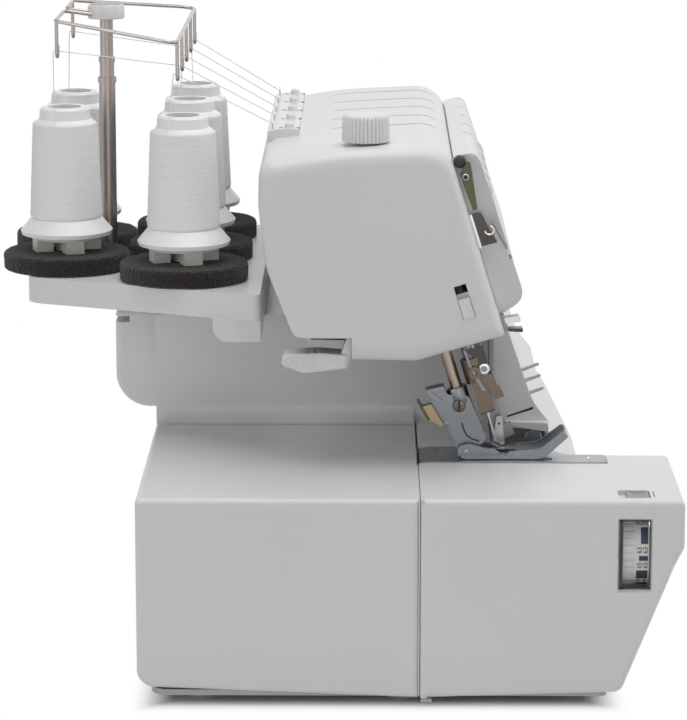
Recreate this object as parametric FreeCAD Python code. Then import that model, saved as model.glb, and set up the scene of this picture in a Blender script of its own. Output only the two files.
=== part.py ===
import FreeCAD, Part
import math
import os

# A household overlock sewing machine, in millimetres.
# The machine's front is -Y, its handwheel is at +X and +Z is up.
# Sizes are given from the bed's left face (X), the seam between the bed and the cloth plate (Y)
# and the table (Z). The finished solids are then moved so that the origin lies under the middle of the box.

# Body
wall = 3.0
seam = 0.8
body_clearance = 0.4
bed_top = 108.0
bed_rear = 143.0
bed_bottom_seam = 4.5
bed_bottom_rear = 10.0
bed_rear_bottom_radius = 9.0
bed_edge_radius = 3.0
column_left = 180.0
column_right = 325.0
column_front = -40.0
column_top = 164.7
column_top_rear = 167.7
column_step_y = 66.5
column_fillet = 9.0
end_cover_thickness = 8.0
end_toe_y = -96.0
pan_bottom = 5.0
pan_thickness = 3.0
pan_looper_front = -79.0
foot_radius = 8.0
foot_seat_depth = 0.6
looper_way_left = 76.0

# Cloth plate cover at the front left, which swings open on an upright pin
cover_front = -133.0
cover_bottom_front = 7.6
cover_toe_y = -102.0
cover_knee = (-129.0, 73.0)
cover_right = 98.0
cover_corner_radius = 2.0
hinge_pin_radius = 1.0
hinge_pin_height = 84.0
latch_recess = (5.0, 21.0, -116.0, -100.0)
latch_depth = 2.4
latch_button_length = 11.0
dial_window = (-115.7, -100.3, 62.0, 97.5)
dial_window_bevel = 3.0
width_dial_x = 25.2
width_dial_z = 79.75
width_dial_radius = 24.0

# Needle plate
plate_left = 80.0
plate_right = 116.0
plate_front_right = 97.0
plate_rear = -1.0
plate_front = -99.0
plate_thickness = 1.6
plate_top = bed_top + 0.6

# Head
head_left = 62.0
head_top_rear = 268.0
head_top_front = 277.0
head_rear = 82.0
head_front_top = -14.4
head_bottom = 165.0
head_near_radius = 8.0
lean_degrees = 17.0
notch = (34.4, 80.0, 178.0)
notch_right = 104.0

# Upper front panel, on the head's leaning front
panel_left = 84.0
panel_depth = 14.0
guard_thickness = 2.6

# Spool tray
tray_top = 194.0
tray_thickness = 14.0
tray_front = 82.8
tray_rear = 210.0
tray_block_depth = 26.0
tray_block_length = 25.0
tray_left_front = 96.0
tray_left_rear = 150.0
tray_right_rear = 300.0


def vec(x, y, z):
    """A place or a direction."""
    return FreeCAD.Vector(x, y, z)


def box(x0, x1, y0, y1, z0, z1):
    """A block between two corners."""
    return Part.makeBox(x1 - x0, y1 - y0, z1 - z0, vec(x0, y0, z0))


def rod(start, direction, radius, length):
    """A round bar from start along direction."""
    return Part.makeCylinder(radius, length, start, direction)


def in_yz(x):
    """Turns a pair (y, z) into a place on the plane at x."""
    return lambda pair: vec(x, pair[0], pair[1])


def in_xz(y):
    """Turns a pair (x, z) into a place on the plane at y."""
    return lambda pair: vec(pair[0], y, pair[1])


def in_xy(z):
    """Turns a pair (x, y) into a place on the plane at z."""
    return lambda pair: vec(pair[0], pair[1], z)


def rounded_face(corners, to_space):
    """A flat face from corners (a, b, radius), each corner rounded by an arc of its radius."""
    places = [to_space(corner) for corner in corners]
    ends = []
    arcs = []
    for index, corner in enumerate(corners):
        here = places[index]
        to_last = (places[index - 1] - here).normalize()
        to_next = (places[(index + 1) % len(places)] - here).normalize()
        radius = corner[2]
        if radius == 0:
            ends.append((here, here))
            arcs.append(None)
            continue
        half_angle = to_last.getAngle(to_next) / 2
        reach = radius / math.tan(half_angle)
        bisector = (to_last + to_next).normalize()
        middle = here + bisector * (radius / math.sin(half_angle) - radius)
        start = here + to_last * reach
        end = here + to_next * reach
        ends.append((start, end))
        arcs.append(Part.Arc(start, middle, end).toShape())
    edges = []
    for index in range(len(corners)):
        if arcs[index] is not None:
            edges.append(arcs[index])
        leave = ends[index][1]
        reach = ends[(index + 1) % len(corners)][0]
        if leave.distanceToPoint(reach) > 0.001:
            edges.append(Part.makeLine(leave, reach))
    return Part.Face(Part.Wire(edges))


def prism_x(corners, x0, x1):
    """A profile of (y, z, radius) corners drawn out along X."""
    return rounded_face(corners, in_yz(x0)).extrude(vec(x1 - x0, 0, 0))


def prism_y(corners, y0, y1):
    """A profile of (x, z, radius) corners drawn out along Y."""
    return rounded_face(corners, in_xz(y0)).extrude(vec(0, y1 - y0, 0))


def prism_z(corners, z0, z1):
    """A profile of (x, y, radius) corners drawn out along Z."""
    return rounded_face(corners, in_xy(z0)).extrude(vec(0, 0, z1 - z0))


def inset_prism_x(corners, inset, x0, x1):
    """The same profile drawn in by inset on every side."""
    return rounded_face(corners, in_yz(x0)).makeOffset2D(-inset).extrude(vec(x1 - x0, 0, 0))


def soften(shape, radius, chosen):
    """Rounds the edges whose bounding box the test chooses."""
    edges = [edge for edge in shape.Edges if chosen(edge.BoundBox)]
    return shape.makeFillet(radius, edges)


def fuse(shapes):
    """One solid from pieces that meet."""
    return shapes[0].fuse(shapes[1:]).removeSplitter()


# Lines that lean with the needle bar: up the lean and square to it, towards the front
lean = math.radians(lean_degrees)
up_lean = vec(0, math.sin(lean), math.cos(lean))
out_front = vec(0, -math.cos(lean), math.sin(lean))
head_front_foot = vec(0, head_front_top, head_top_front) - up_lean * 103.0


def on_front(x, along, out):
    """A place on the head's leaning front: along it from the foot, and out from it."""
    place = head_front_foot + up_lean * along + out_front * out
    return vec(x, place.y, place.z)


def front_prism(corners, x0, x1):
    """A profile of (along, out, radius) corners on the leaning front, drawn out along X."""
    face = rounded_face(corners, lambda pair: on_front(x0, pair[0], pair[1]))
    return face.extrude(vec(x1 - x0, 0, 0))


def front_box(x0, x1, along0, along1, out0, out1):
    """A block that leans with the head's front."""
    corners = [(along0, out0, 0), (along1, out0, 0), (along1, out1, 0), (along0, out1, 0)]
    return front_prism(corners, x0, x1)


# Casing

def base_pan():
    """The bottom plate, inside the covers, with a lug that carries the cloth plate's hinge pin."""
    margin = wall + body_clearance
    pan_top = pan_bottom + pan_thickness
    plate = prism_z([
        (margin, bed_rear - 2 * margin, 10.0),
        (margin, cover_toe_y + 2 * margin, 4.0),
        (cover_right, cover_toe_y + 2 * margin, 4.0),
        (cover_right, pan_looper_front, 4.0),
        (column_right - margin, pan_looper_front, 4.0),
        (column_right - margin, bed_rear - 2 * margin, 10.0),
    ], pan_bottom, pan_top)
    lug_top = bed_bottom_seam - body_clearance
    lug = box(0.4, 16.0, hinge_y - 4.0, hinge_y + 1.6, lug_top - 1.6, lug_top)
    lug_root = box(margin, 16.0, hinge_y - 4.0, hinge_y + 1.6, lug_top - 1.6, pan_bottom)
    post_way = rod(
        vec(hinge_x, hinge_y, lug_top), vec(0, 0, 1), cover_corner_radius + body_clearance,
        pan_thickness + 2.0)
    pan = fuse([plate, lug, lug_root]).cut(post_way)
    for x, y in foot_places:
        pan = pan.cut(rod(vec(x, y, 0), vec(0, 0, 1), foot_radius + 0.1, pan_bottom + foot_seat_depth))
    return pan


foot_places = [(22.0, 9.0), (22.0, 112.0), (300.0, 112.0), (300.0, -60.0), (60.0, -66.0)]
hinge_x = cover_corner_radius
hinge_y = -seam / 2 - cover_corner_radius


def rubber_feet():
    """Tapered rubber feet, seated in the base pan."""
    feet = []
    for x, y in foot_places:
        foot = Part.makeCone(foot_radius - 1.2, foot_radius, pan_bottom + foot_seat_depth, vec(x, y, 0))
        feet.append(foot)
    return Part.makeCompound(feet)


def hinge_pins():
    """The cloth plate cover's upright pin, the presser lever's pin and the looper cover's two pins."""
    lug_top = bed_bottom_seam - body_clearance
    upright = rod(vec(hinge_x, hinge_y, lug_top), vec(0, 0, 1), hinge_pin_radius, hinge_pin_height)
    lever_pin = rod(
        vec(head_left + wall, lever_pivot_y, lever_pivot_z), vec(1, 0, 0), lever_pin_radius,
        lever_right - head_left)
    return Part.makeCompound([upright, lever_pin] + looper_cover_pins())


def bed_profile():
    """The bed's side view behind the seam."""
    return [
        (seam / 2, bed_bottom_seam, 0.6),
        (bed_rear, bed_bottom_rear, bed_rear_bottom_radius),
        (bed_rear, bed_top, bed_edge_radius),
        (seam / 2, bed_top, 0.6),
    ]


def bed_cover():
    """The hollow bed block behind the seam, open below, with its left edges rounded."""
    outer = prism_x(bed_profile(), 0, column_left - body_clearance)
    outer = soften(outer, bed_edge_radius, lambda b: b.XMax < 0.01 and b.ZMin > bed_top - 0.01)
    hollow = box(
        wall, column_left, wall + seam / 2, bed_rear - wall, 0, bed_top - wall)
    looper_way = box(looper_way_left, column_left, 0, 2 * wall, 0, bed_top - wall)
    pan_way = box(wall, column_left, 0, 2 * wall, 0, pan_bottom + pan_thickness + body_clearance)
    return outer.cut(hollow).cut(looper_way).cut(pan_way)


def cover_profile():
    """The cloth plate cover's side view."""
    return [
        (-seam / 2, bed_bottom_seam, 0),
        (-seam / 2, bed_top, 0.6),
        (cover_front, bed_top, 4.0),
        (cover_front, cover_knee[1] + 10.0, 6.0),
        (cover_knee[0] + 1.0, cover_knee[1], 8.0),
        (cover_toe_y, cover_bottom_front, 6.0),
    ]


def cloth_plate_cover():
    """The swinging front left cover: top, near wall and front, open below, behind and to the right."""
    outer = prism_x(cover_profile(), 0, cover_right)
    outer = soften(outer, bed_edge_radius, lambda b: b.XMax < 0.01 and b.ZMin > bed_top - 0.01)
    inner = inset_prism_x(cover_profile(), wall, wall, cover_right + 1)
    behind = box(wall, cover_right + 1, -30.0, 0, 0, bed_top - wall)
    below = box(wall, cover_right + 1, cover_toe_y + 4.0, 0, 0, 40.0)
    shell = outer.cut(fuse([inner, behind, below]))
    plate_gap = box(
        plate_left - body_clearance, cover_right + 1, plate_front - body_clearance, 1,
        bed_top - 2 * wall, bed_top + 1)
    shell = shell.cut(plate_gap)
    post = rod(
        vec(hinge_x, hinge_y, bed_bottom_seam), vec(0, 0, 1), cover_corner_radius,
        bed_top - wall - bed_bottom_seam)
    corner = box(-1, hinge_x, hinge_y, 1, 0, bed_top + 1)
    shell = fuse([shell.cut(corner), post])
    bore = rod(
        vec(hinge_x, hinge_y, 0), vec(0, 0, 1), hinge_pin_radius + 0.05,
        hinge_pin_height + bed_bottom_seam + 2)
    shell = shell.cut(bore)
    x0, x1, y0, y1 = latch_recess
    recess = prism_z(
        [(x0, y0, 2.0), (x1, y0, 2.0), (x1, y1, 2.0), (x0, y1, 2.0)], bed_top - latch_depth, bed_top + 1)
    lug_y = dial_window[1] + 0.6
    lug = box(wall - 0.5, width_dial_x + 7.0, lug_y, lug_y + wall, width_dial_z - 9.0, width_dial_z + 9.0)
    lug_bore = rod(
        vec(width_dial_x, lug_y - 1, width_dial_z), vec(0, 1, 0), dial_axle_radius + running_clearance,
        9.0)
    shell = fuse([shell.cut(recess).cut(dial_window_cut()), lug])
    return shell.cut(lug_bore)


def dial_window_cut():
    """The opening in the near wall for the width dial, with a bevelled frame."""
    y0, y1, z0, z1 = dial_window
    hole = box(-1, wall + 1, y0, y1, z0, z1)
    bevel = dial_window_bevel
    inner = Part.makePolygon([
        vec(1.6, y0, z0), vec(1.6, y1, z0), vec(1.6, y1, z1), vec(1.6, y0, z1), vec(1.6, y0, z0)])
    outer = Part.makePolygon([
        vec(-0.1, y0 - 1.2, z0 - bevel), vec(-0.1, y1 + 1.2, z0 - bevel), vec(-0.1, y1 + 1.2, z1 + 1.2),
        vec(-0.1, y0 - 1.2, z1 + 1.2), vec(-0.1, y0 - 1.2, z0 - bevel)])
    return fuse([hole, Part.makeLoft([inner, outer], True, True)])


def column_profile(front, rear):
    """The upright column's side view."""
    return [
        (front, bed_bottom_rear, 0),
        (rear, bed_bottom_rear, bed_rear_bottom_radius),
        (rear, column_top_rear, 2.0),
        (column_step_y, column_top_rear, 0),
        (column_step_y, column_top, 0),
        (1.0, column_top, 0),
        (front, column_top + 10.5, 0),
    ]


def column_cover():
    """The upright body on the right, hollow and open below, with a cove where the bed meets it."""
    outer = prism_x(column_profile(column_front, bed_rear), column_left, column_right)
    hollow = box(
        column_left + wall, column_right + 1, column_front + wall, bed_rear - wall, 0, column_top - wall)
    cove_blank = box(
        column_left - column_fillet, column_left, 1.0, bed_rear - 6.0, bed_top, bed_top + column_fillet)
    cove_cut = rod(
        vec(column_left - column_fillet, 0, bed_top + column_fillet), vec(0, 1, 0), column_fillet, bed_rear)
    cove_lift = body_clearance / 2
    cove = cove_blank.cut(cove_cut).translate(vec(0, 0, cove_lift))
    shell = fuse([outer.cut(hollow), cove])
    handle_slot = box(
        column_left + 8 * wall, column_right - 10 * wall, bed_rear - 2 * wall, bed_rear + 1, 118.0, 158.0)
    shell = shell.cut(handle_slot)
    window = box(column_left - 1, column_left + wall + 1, column_front - 1, -8.0, 40.0, bed_top - 8.0)
    shell = shell.cut(window)
    post_way = box(
        post_left - 2.0, post_right + 2.0, post_front - 2.0, post_rear + 2.0, column_top - 2 * wall,
        column_top + 1)
    shaft_way = rod(vec(column_left - 1, shaft_y, shaft_z), vec(1, 0, 0), shaft_radius + 2.0, 2 * wall)
    rail_way = box(
        column_left - 1, column_left + 2 * wall, rail_front - 2.0, rail_rear + 2.0, 0, rail_top + 2.0)
    return shell.cut(fuse([post_way])).cut(shaft_way).cut(rail_way)


post_left = 190.0
post_right = 212.0
post_front = 4.0
post_rear = 44.0
rail_front = 20.0
rail_rear = 90.0
rail_top = 16.0


def end_cover():
    """The right end: a shallow cap with a dished seat for the handwheel."""
    corners = [
        (end_toe_y, bed_bottom_rear, 6.0),
        (bed_rear, bed_bottom_rear, bed_rear_bottom_radius),
        (bed_rear, column_top_rear - 3.0, 6.0),
        (column_front - 6.0, column_top_rear - 3.0, 6.0),
        (end_toe_y + 24.0, bed_top, 20.0),
        (end_toe_y, bed_top / 2, 20.0),
    ]
    left = column_right + body_clearance
    right = column_right + end_cover_thickness
    cap = prism_x(corners, left, right)
    cap = soften(cap, 3.0, lambda b: b.XMin > right - 0.01)
    dish = rod(vec(right - 4.0, shaft_y, shaft_z), vec(1, 0, 0), wheel_radius + 2.0, 5.0)
    bore = rod(vec(left - 1, shaft_y, shaft_z), vec(1, 0, 0), shaft_radius + 0.6, end_cover_thickness + 2)
    cap = cap.cut(fuse([dish, bore]))
    dial_seat = rod(
        vec(right - 3.0, length_dial_y, length_dial_z), vec(1, 0, 0), length_dial_radius + 0.5, 4.0)
    dial_bore = rod(vec(left - 1, length_dial_y, length_dial_z), vec(1, 0, 0), dial_stem_radius + 0.05, 9.0)
    cap = cap.cut(fuse([dial_seat, dial_bore]))
    cap = cap.cut(box(left - 1, right + 1, *switch_window_y, *switch_window_z))
    cap = cap.cut(rod(
        vec(switch_pivot_x, switch_window_y[0] - 2.0, switch_pivot_z), vec(0, 1, 0),
        switch_pin_radius + running_clearance, switch_window_y[1] - switch_window_y[0] + 4.0))
    return cap.cut(box(left - 1, right + 1, *inlet_window_y, *inlet_window_z))


# Drive, inside the column
shaft_y = 52.0
shaft_z = 78.0
shaft_radius = 6.0
shaft_left = 117.0
wheel_radius = 33.0
wheel_left = column_right + end_cover_thickness - 3.6
wheel_right = 345.0
shaft_pulley_radius = 28.0
pulley_left = 311.0
pulley_width = 9.0
motor_y = 116.0
motor_z = 128.0
motor_radius = 22.0
motor_left = 226.0
motor_right = 296.0
motor_shaft_radius = 4.0
motor_pulley_radius = 9.0
belt_thickness = 2.0
running_clearance = 0.05
length_dial_y = -8.0
length_dial_z = 96.0
length_dial_radius = 17.0
dial_stem_radius = 4.0
switch_window_y = (114.0, 130.0)
switch_window_z = (26.0, 52.0)
inlet_window_y = (92.0, 108.0)
inlet_window_z = (26.0, 52.0)
switch_pivot_x = column_right + 4.5
switch_pivot_z = 39.0
switch_pin_radius = 1.5


def motor_cover():
    """The rounded bulge behind the column that closes the motor's space."""
    rear = 167.0
    corners = [
        (bed_rear + body_clearance, 110.0, 0),
        (rear, 110.0, 19.0),
        (rear, 166.0, 4.0),
        (bed_rear + body_clearance, 166.0, 0),
    ]
    left = 205.0
    right = column_right - 6.0
    outer = prism_x(corners, left, right)
    outer = soften(outer, 4.0, lambda b: b.XMax < left + 0.01 and b.YMax > bed_rear + 1)
    hollow = box(left + wall, right - wall, bed_rear, rear - wall - 8.0, 118.0, 160.0)
    grip = box(left - 1, left + 30.0, rear - 8.0, rear + 1, 158.5, 162.0)
    shell = outer.cut(hollow).cut(grip)
    for x in (left + 8.0, right - 12.0):
        for z in (124.0, 152.0):
            shell = shell.cut(rod(vec(x, bed_rear - 1, z), vec(0, 1, 0), screw_radius + 0.05, 8.0))
    return shell


screw_radius = 1.6


def head_profile():
    """The head's side view: leaning front, rounded top, drawn-in rear."""
    front_low = on_front(0, 0, 0)
    front_high = on_front(0, 103.0, 0)
    return [
        (front_low.y, front_low.z, 1.5),
        (1.0, head_bottom, 4.0),
        (58.0, head_bottom + 1.0, 3.0),
        (66.0, 181.0, 8.0),
        (79.0, 214.0, 60.0),
        (head_rear + 0.6, 246.0, 60.0),
        (head_rear, head_top_rear, 9.0),
        (40.0, head_top_rear + 6.5, 200.0),
        (front_high.y, front_high.z, 18.0),
    ]


def head_blank():
    """The head's outer form, with a soft left edge."""
    outer = prism_x(head_profile(), head_left, column_right)
    return soften(
        outer, head_near_radius,
        lambda b: b.XMax < head_left + 0.01 and b.ZMax > 182.0 and b.YMin > head_front_foot.y + 1)


def head_cover():
    """The head's shell, with the lever notch, the bars' way out below and five thread slots."""
    outer = head_blank()
    hollow = inset_prism_x(head_profile(), wall, head_left + wall, column_right - wall)
    shell = outer.cut(hollow)
    y0, y1, top = notch
    shell = shell.cut(box(head_left - 1, notch_right, y0, y1, head_bottom - 5, top))
    shell = shell.cut(front_box(70.0, 122.0, -25.0, 8.0, -47.0, 2.0))
    shell = shell.cut(box(
        post_left - 2, post_right + 2, post_front - 2, post_rear + 2, head_bottom - 2,
        head_bottom + 2 * wall))
    shell = shell.cut(rod(vec(knob_x, knob_y, 240.0), vec(0, 0, 1), knob_stem_radius + 0.3, 60.0))
    shell = shell.cut(selector_slot())
    for x in dial_x:
        shell = shell.cut(thread_groove(x))
        shell = shell.cut(
            front_box(x - dial_width / 2 - 0.5, x + dial_width / 2 + 0.5, *dial_pocket, -wall - 1, 1.0))
    return shell


guide_pitch = 36.5
guide_first_x = 158.0
guide_y = 72.0
dial_x = [guide_first_x + guide_pitch * index for index in range(5)]
dial_width = 7.0
dial_radius = 14.0
dial_along = 62.0
dial_sink = 10.0
dial_pocket = (dial_along - dial_radius - 1.0, dial_along + dial_radius + 1.0)
knob_x = 90.0
knob_y = 27.4
knob_radius = 12.6
knob_bottom = 276.2
knob_top = 290.5
knob_stem_radius = 5.0


def thread_groove(x):
    """A shallow channel along the head's top that leads one thread to the front."""
    return box(x - 1.2, x + 1.2, -40.0, guide_y - 9.0, head_top_rear + 5.4, head_top_front + 10.0)


selector_along = (15.0, 33.0)
selector_out = (-18.0, -11.5)


def selector_slot():
    """The slot for the selector in the head's left face."""
    return front_box(head_left - 1, head_left + wall + 1, *selector_along, *selector_out)


def take_up_guard():
    """The grey plate that stands out from the head's front beside the take-up lever."""
    corners = [
        (4.0, 0.3, 1.0), (101.0, 0.3, 1.0), (101.0, panel_depth, 6.0), (20.0, panel_depth, 5.0),
        (9.0, 9.0, 3.0)]
    return front_prism(corners, panel_left - guard_thickness - 0.3, panel_left - 0.3)


def front_panel():
    """The leaning tension panel: a thick moulding with five dial pockets and thread slots."""
    corners = [
        (7.0, 0.3, 1.0), (99.5, 0.3, 1.0), (99.5, panel_depth - 1, 7.0), (22.0, panel_depth - 1, 7.0),
        (10.0, 8.0, 3.0)]
    panel = front_prism(corners, panel_left, column_right)
    for x in dial_x:
        half = dial_width / 2 + 0.5
        panel = panel.cut(front_box(x - half, x + half, *dial_pocket, -1, panel_depth))
        axle = rod(
            on_front(x - 8.0, dial_along, panel_depth - 1 - dial_sink), vec(1, 0, 0),
            dial_axle_radius + 0.05, 16.0)
        panel = panel.cut(axle)
        channel_x = x + 14.0
        channel = front_box(channel_x - 1.0, channel_x + 1.0, 0, 120.0, panel_depth - 7.0, panel_depth + 1)
        panel = panel.cut(channel)
    return panel


dial_axle_radius = 2.0


def lower_front_panel():
    """The panel below the tension dials, with guide fingers, a slot and a shelf on its left end."""
    left = 125.0
    corners = [
        (column_front - 0.4, 112.0, 0),
        (column_front - 0.4, 176.6, 0),
        (-45.5, 178.0, 2.0),
        (-62.0, 132.0, 30.0),
        (-71.5, 117.0, 2.0),
        (-70.0, 112.0, 1.0),
    ]
    panel = prism_x(corners, left, column_right)
    slot = box(left - 1, left + 12.0, -62.0, -46.5, 123.5, 128.0)
    recess = box(left - 1, left + 30.0, -69.0, -45.0, 111.0, 116.0)
    panel = panel.cut(fuse([slot])).cut(recess)
    fingers = []
    for z in (151.0, 145.0, 137.5):
        y = -55.0 - (151.0 - z) * 0.4
        finger = prism_z(
            [(left + 4.0, y + 8.0, 0), (left + 4.0, y - 8.5, 1.2), (left + 7.0, y - 8.5, 1.2),
            (left + 7.0, y + 8.0, 0)], z - 1.2, z + 1.2)
        fingers.append(finger)
    return fuse([panel] + fingers)


looper_cover_left = cover_right + 1.0
looper_cover_right = column_right - body_clearance
looper_hinge_y = -88.0
looper_hinge_z = 14.0


def looper_cover_profile():
    """The looper cover's side view."""
    return [
        (-96.0, 8.6, 4.0),
        (-96.0, 64.0, 14.0),
        (-75.0, 106.0, 3.0),
        (-71.5, 106.0, 1.0),
        (-92.5, 63.0, 12.0),
        (-92.5, 12.0, 0),
        (-84.0, 12.0, 0),
        (-84.0, 8.6, 0),
    ]


def looper_cover():
    """The front cover below the panel, which folds forward on two pins."""
    panel = prism_x(looper_cover_profile(), looper_cover_left, looper_cover_right)
    for x in hinge_lug_x:
        lug = prism_x([
            (-93.0, 10.0, 0), (looper_hinge_y + 4.0, 10.0, 3.0),
            (looper_hinge_y + 4.0, looper_hinge_z + 4.0, 3.0),
            (-93.0, looper_hinge_z + 4.0, 0)], x, x + 6.0)
        panel = panel.fuse(lug)
    panel = panel.removeSplitter()
    pin_way = rod(vec(0, looper_hinge_y, looper_hinge_z), vec(1, 0, 0), looper_pin_radius + 0.05, 400.0)
    return panel.cut(pin_way)


hinge_lug_x = (112.0, 296.0)
looper_pin_radius = 1.5


def looper_cover_pins():
    """The looper cover's two pins."""
    pins = []
    for x in hinge_lug_x:
        pins.append(
            rod(vec(x - 6.0, looper_hinge_y, looper_hinge_z), vec(1, 0, 0), looper_pin_radius, 18.0))
    return pins


def spool_tray():
    """The spool stand's tray: a wide plate with a deep block where it joins the machine."""
    plate = prism_z([
        (tray_left_front, tray_front, 3.0),
        (tray_left_rear, tray_rear, 14.0),
        (tray_right_rear, tray_rear, 14.0),
        (column_right, 150.0, 14.0),
        (column_right, tray_front, 3.0),
    ], tray_top - tray_thickness, tray_top)
    block = prism_x([
        (tray_front, tray_top - tray_block_depth, 0),
        (tray_front + tray_block_length, tray_top - tray_block_depth, 8.0),
        (tray_front + tray_block_length, tray_top - tray_thickness + 1, 0),
        (tray_front, tray_top - tray_thickness + 1, 0),
    ], tray_left_front + 6.0, column_right)
    tray = fuse([plate, block])
    for x, y in spool_places:
        tray = tray.cut(rod(vec(x, y, tray_top - 6.0), vec(0, 0, 1), spool_pin_radius, 10.0))
    return tray.cut(rod(vec(pole_x, pole_y, tray_top - 10.0), vec(0, 0, 1), pole_radius, 20.0))


spool_pitch = 70.0
spool_first_x = 146.0
spool_front_y = 125.0
spool_rear_y = 191.0
spool_places = [
    (spool_first_x, spool_front_y),
    (spool_first_x + spool_pitch, spool_front_y),
    (spool_first_x + 2 * spool_pitch, spool_front_y),
    (spool_first_x + spool_pitch / 2, spool_rear_y),
    (spool_first_x + 3 * spool_pitch / 2, spool_rear_y),
]
spool_pin_radius = 3.0
pole_x = 216.0
pole_y = 170.5
pole_radius = 4.5


# Chassis and drive
arm_bottom = 226.0
arm_top = 246.0
boss_left = 84.0
boss_right = 120.0
boss_front = -18.0
boss_rear = 30.0
beam_left = 118.0
beam_right = 130.0
bearing_left = 122.0
bearing_right = 304.0
bearing_width = 8.0
bush_radius = 9.0
shelf_depth = 10.0


def chassis():
    """The inner casting: rail, bearing walls, post, arm with the bars' boss, and the plate's seat."""
    pan_top = pan_bottom + pan_thickness
    under_plate = plate_top - plate_thickness
    under_bed = bed_top - wall - body_clearance
    rail = box(bearing_left, bearing_right, rail_front, rail_rear, pan_top, rail_top)
    left_wall = box(bearing_left, beam_right, rail_front, rail_rear, pan_top, under_bed)
    right_wall = prism_x([
        (rail_front, pan_top, 0), (rail_rear, pan_top, 0), (rail_rear, 70.0, 20.0),
        (bed_rear - wall - 2.0, 104.0, 6.0), (bed_rear - wall - 2.0, 152.0, 6.0), (92.0, 152.0, 6.0),
        (rail_front, 112.0, 6.0)], bearing_right - bearing_width, bearing_right)
    beam = box(beam_left, beam_right, -64.0, rail_rear, under_bed - 14.0, under_bed)
    rear_shelf = box(plate_left + 1.0, beam_right, -18.0, -2.0, under_plate - shelf_depth, under_plate)
    side_rail = box(
        plate_left + 1.0, plate_left + 4.0, plate_front + 1.0, -2.0, under_plate - shelf_depth,
        under_plate)
    front_shelf = box(
        plate_left + 1.0, plate_front_right - 1.0, plate_front + 1.0, plate_front + 13.0,
        under_plate - shelf_depth, under_plate)
    post = box(post_left, post_right, post_front, post_rear, rail_top - 1.0, arm_top)
    post_foot = box(post_left, post_right, post_front, rail_rear - 10.0, pan_top, rail_top)
    arm = box(boss_left, post_right, post_front, boss_rear, arm_bottom, arm_top)
    boss = box(boss_left, boss_right, boss_front, boss_rear, arm_bottom, arm_top)
    looper_wall = box(bearing_left, beam_right, -64.0, rail_front + 1.0, 28.0, under_bed)
    studs = []
    for x, pivot in ((looper_left, upper_looper_pivot), (lower_looper_left, lower_looper_pivot)):
        studs.append(
            rod(vec(x - 1.0, pivot[0], pivot[1]), vec(1, 0, 0), looper_pivot_radius,
            bearing_left + 1.0 - x + 1.0))
    feed_rail = box(
        feed_rail_left, feed_rail_left + 4.0, plate_front + 8.0, -10.0, plate_top - 13.0, plate_top - 9.3)
    casting = fuse([
        rail, left_wall, right_wall, beam, rear_shelf, side_rail, front_shelf, post, post_foot, arm, boss,
        looper_wall, feed_rail] + studs)
    for x in (bearing_left, bearing_right - bearing_width):
        casting = casting.cut(
            rod(vec(x - 1, shaft_y, shaft_z), vec(1, 0, 0), bush_radius, bearing_width + 2))
    casting = casting.cut(rod(
        vec(bearing_right - bearing_width - 1, motor_y, motor_z), vec(1, 0, 0),
        motor_shaft_radius + 0.6, 20.0))
    casting = casting.cut(
        rod(lean_place(needle_foot, -20.0), up_lean, needle_bar_radius + running_clearance, 220.0))
    casting = casting.cut(
        rod(lean_place(presser_foot_place, -60.0), up_lean, presser_bar_radius + running_clearance,
        220.0))
    knife_way = lean_box(
        knife_place, -knife_half - 0.1, knife_half + 0.1, -20.0, 200.0, -knife_depth / 2 - 0.1,
        knife_depth / 2 + 0.1)
    return casting.cut(knife_way)


def shaft_bushes():
    """Two bronze bushes for the main shaft."""
    bushes = []
    for x in (bearing_left, bearing_right - bearing_width):
        outer = rod(vec(x, shaft_y, shaft_z), vec(1, 0, 0), bush_radius, bearing_width)
        bore = rod(vec(x, shaft_y, shaft_z), vec(1, 0, 0), shaft_radius + running_clearance, bearing_width)
        bushes.append(outer.cut(bore))
    return Part.makeCompound(bushes)


def main_shaft():
    """The main shaft, from the loopers to the handwheel, with a crank at its left end."""
    bar = rod(vec(shaft_left, shaft_y, shaft_z), vec(1, 0, 0), shaft_radius, wheel_right - 4.0 - shaft_left)
    web = rod(vec(shaft_left - 8.0, shaft_y, shaft_z), vec(1, 0, 0), 14.0, 8.0)
    crank = rod(vec(shaft_left - 20.0, shaft_y, shaft_z + 8.0), vec(1, 0, 0), 4.0, 12.5)
    return fuse([bar, web, crank])


def grooved_pulley(x, y, z, radius, bore):
    """A belt pulley with two flanges and a crowned groove."""
    flange = 1.5
    body = rod(vec(x, y, z), vec(1, 0, 0), radius, pulley_width)
    rims = [
        rod(vec(x - flange, y, z), vec(1, 0, 0), radius + 3.0, flange),
        rod(vec(x + pulley_width, y, z), vec(1, 0, 0), radius + 3.0, flange),
    ]
    way = rod(vec(x - 10, y, z), vec(1, 0, 0), bore, pulley_width + 20)
    return fuse([body] + rims).cut(way)


def shaft_pulley():
    """The large pulley on the main shaft."""
    return grooved_pulley(pulley_left, shaft_y, shaft_z, shaft_pulley_radius, shaft_radius)


def motor_pulley():
    """The motor's shaft with its small pulley."""
    pulley = grooved_pulley(pulley_left, motor_y, motor_z, motor_pulley_radius, motor_shaft_radius)
    stub = rod(
        vec(motor_right - 20.0, motor_y, motor_z), vec(1, 0, 0), motor_shaft_radius,
        pulley_left + pulley_width - motor_right + 20.0)
    return fuse([pulley, stub])


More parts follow.
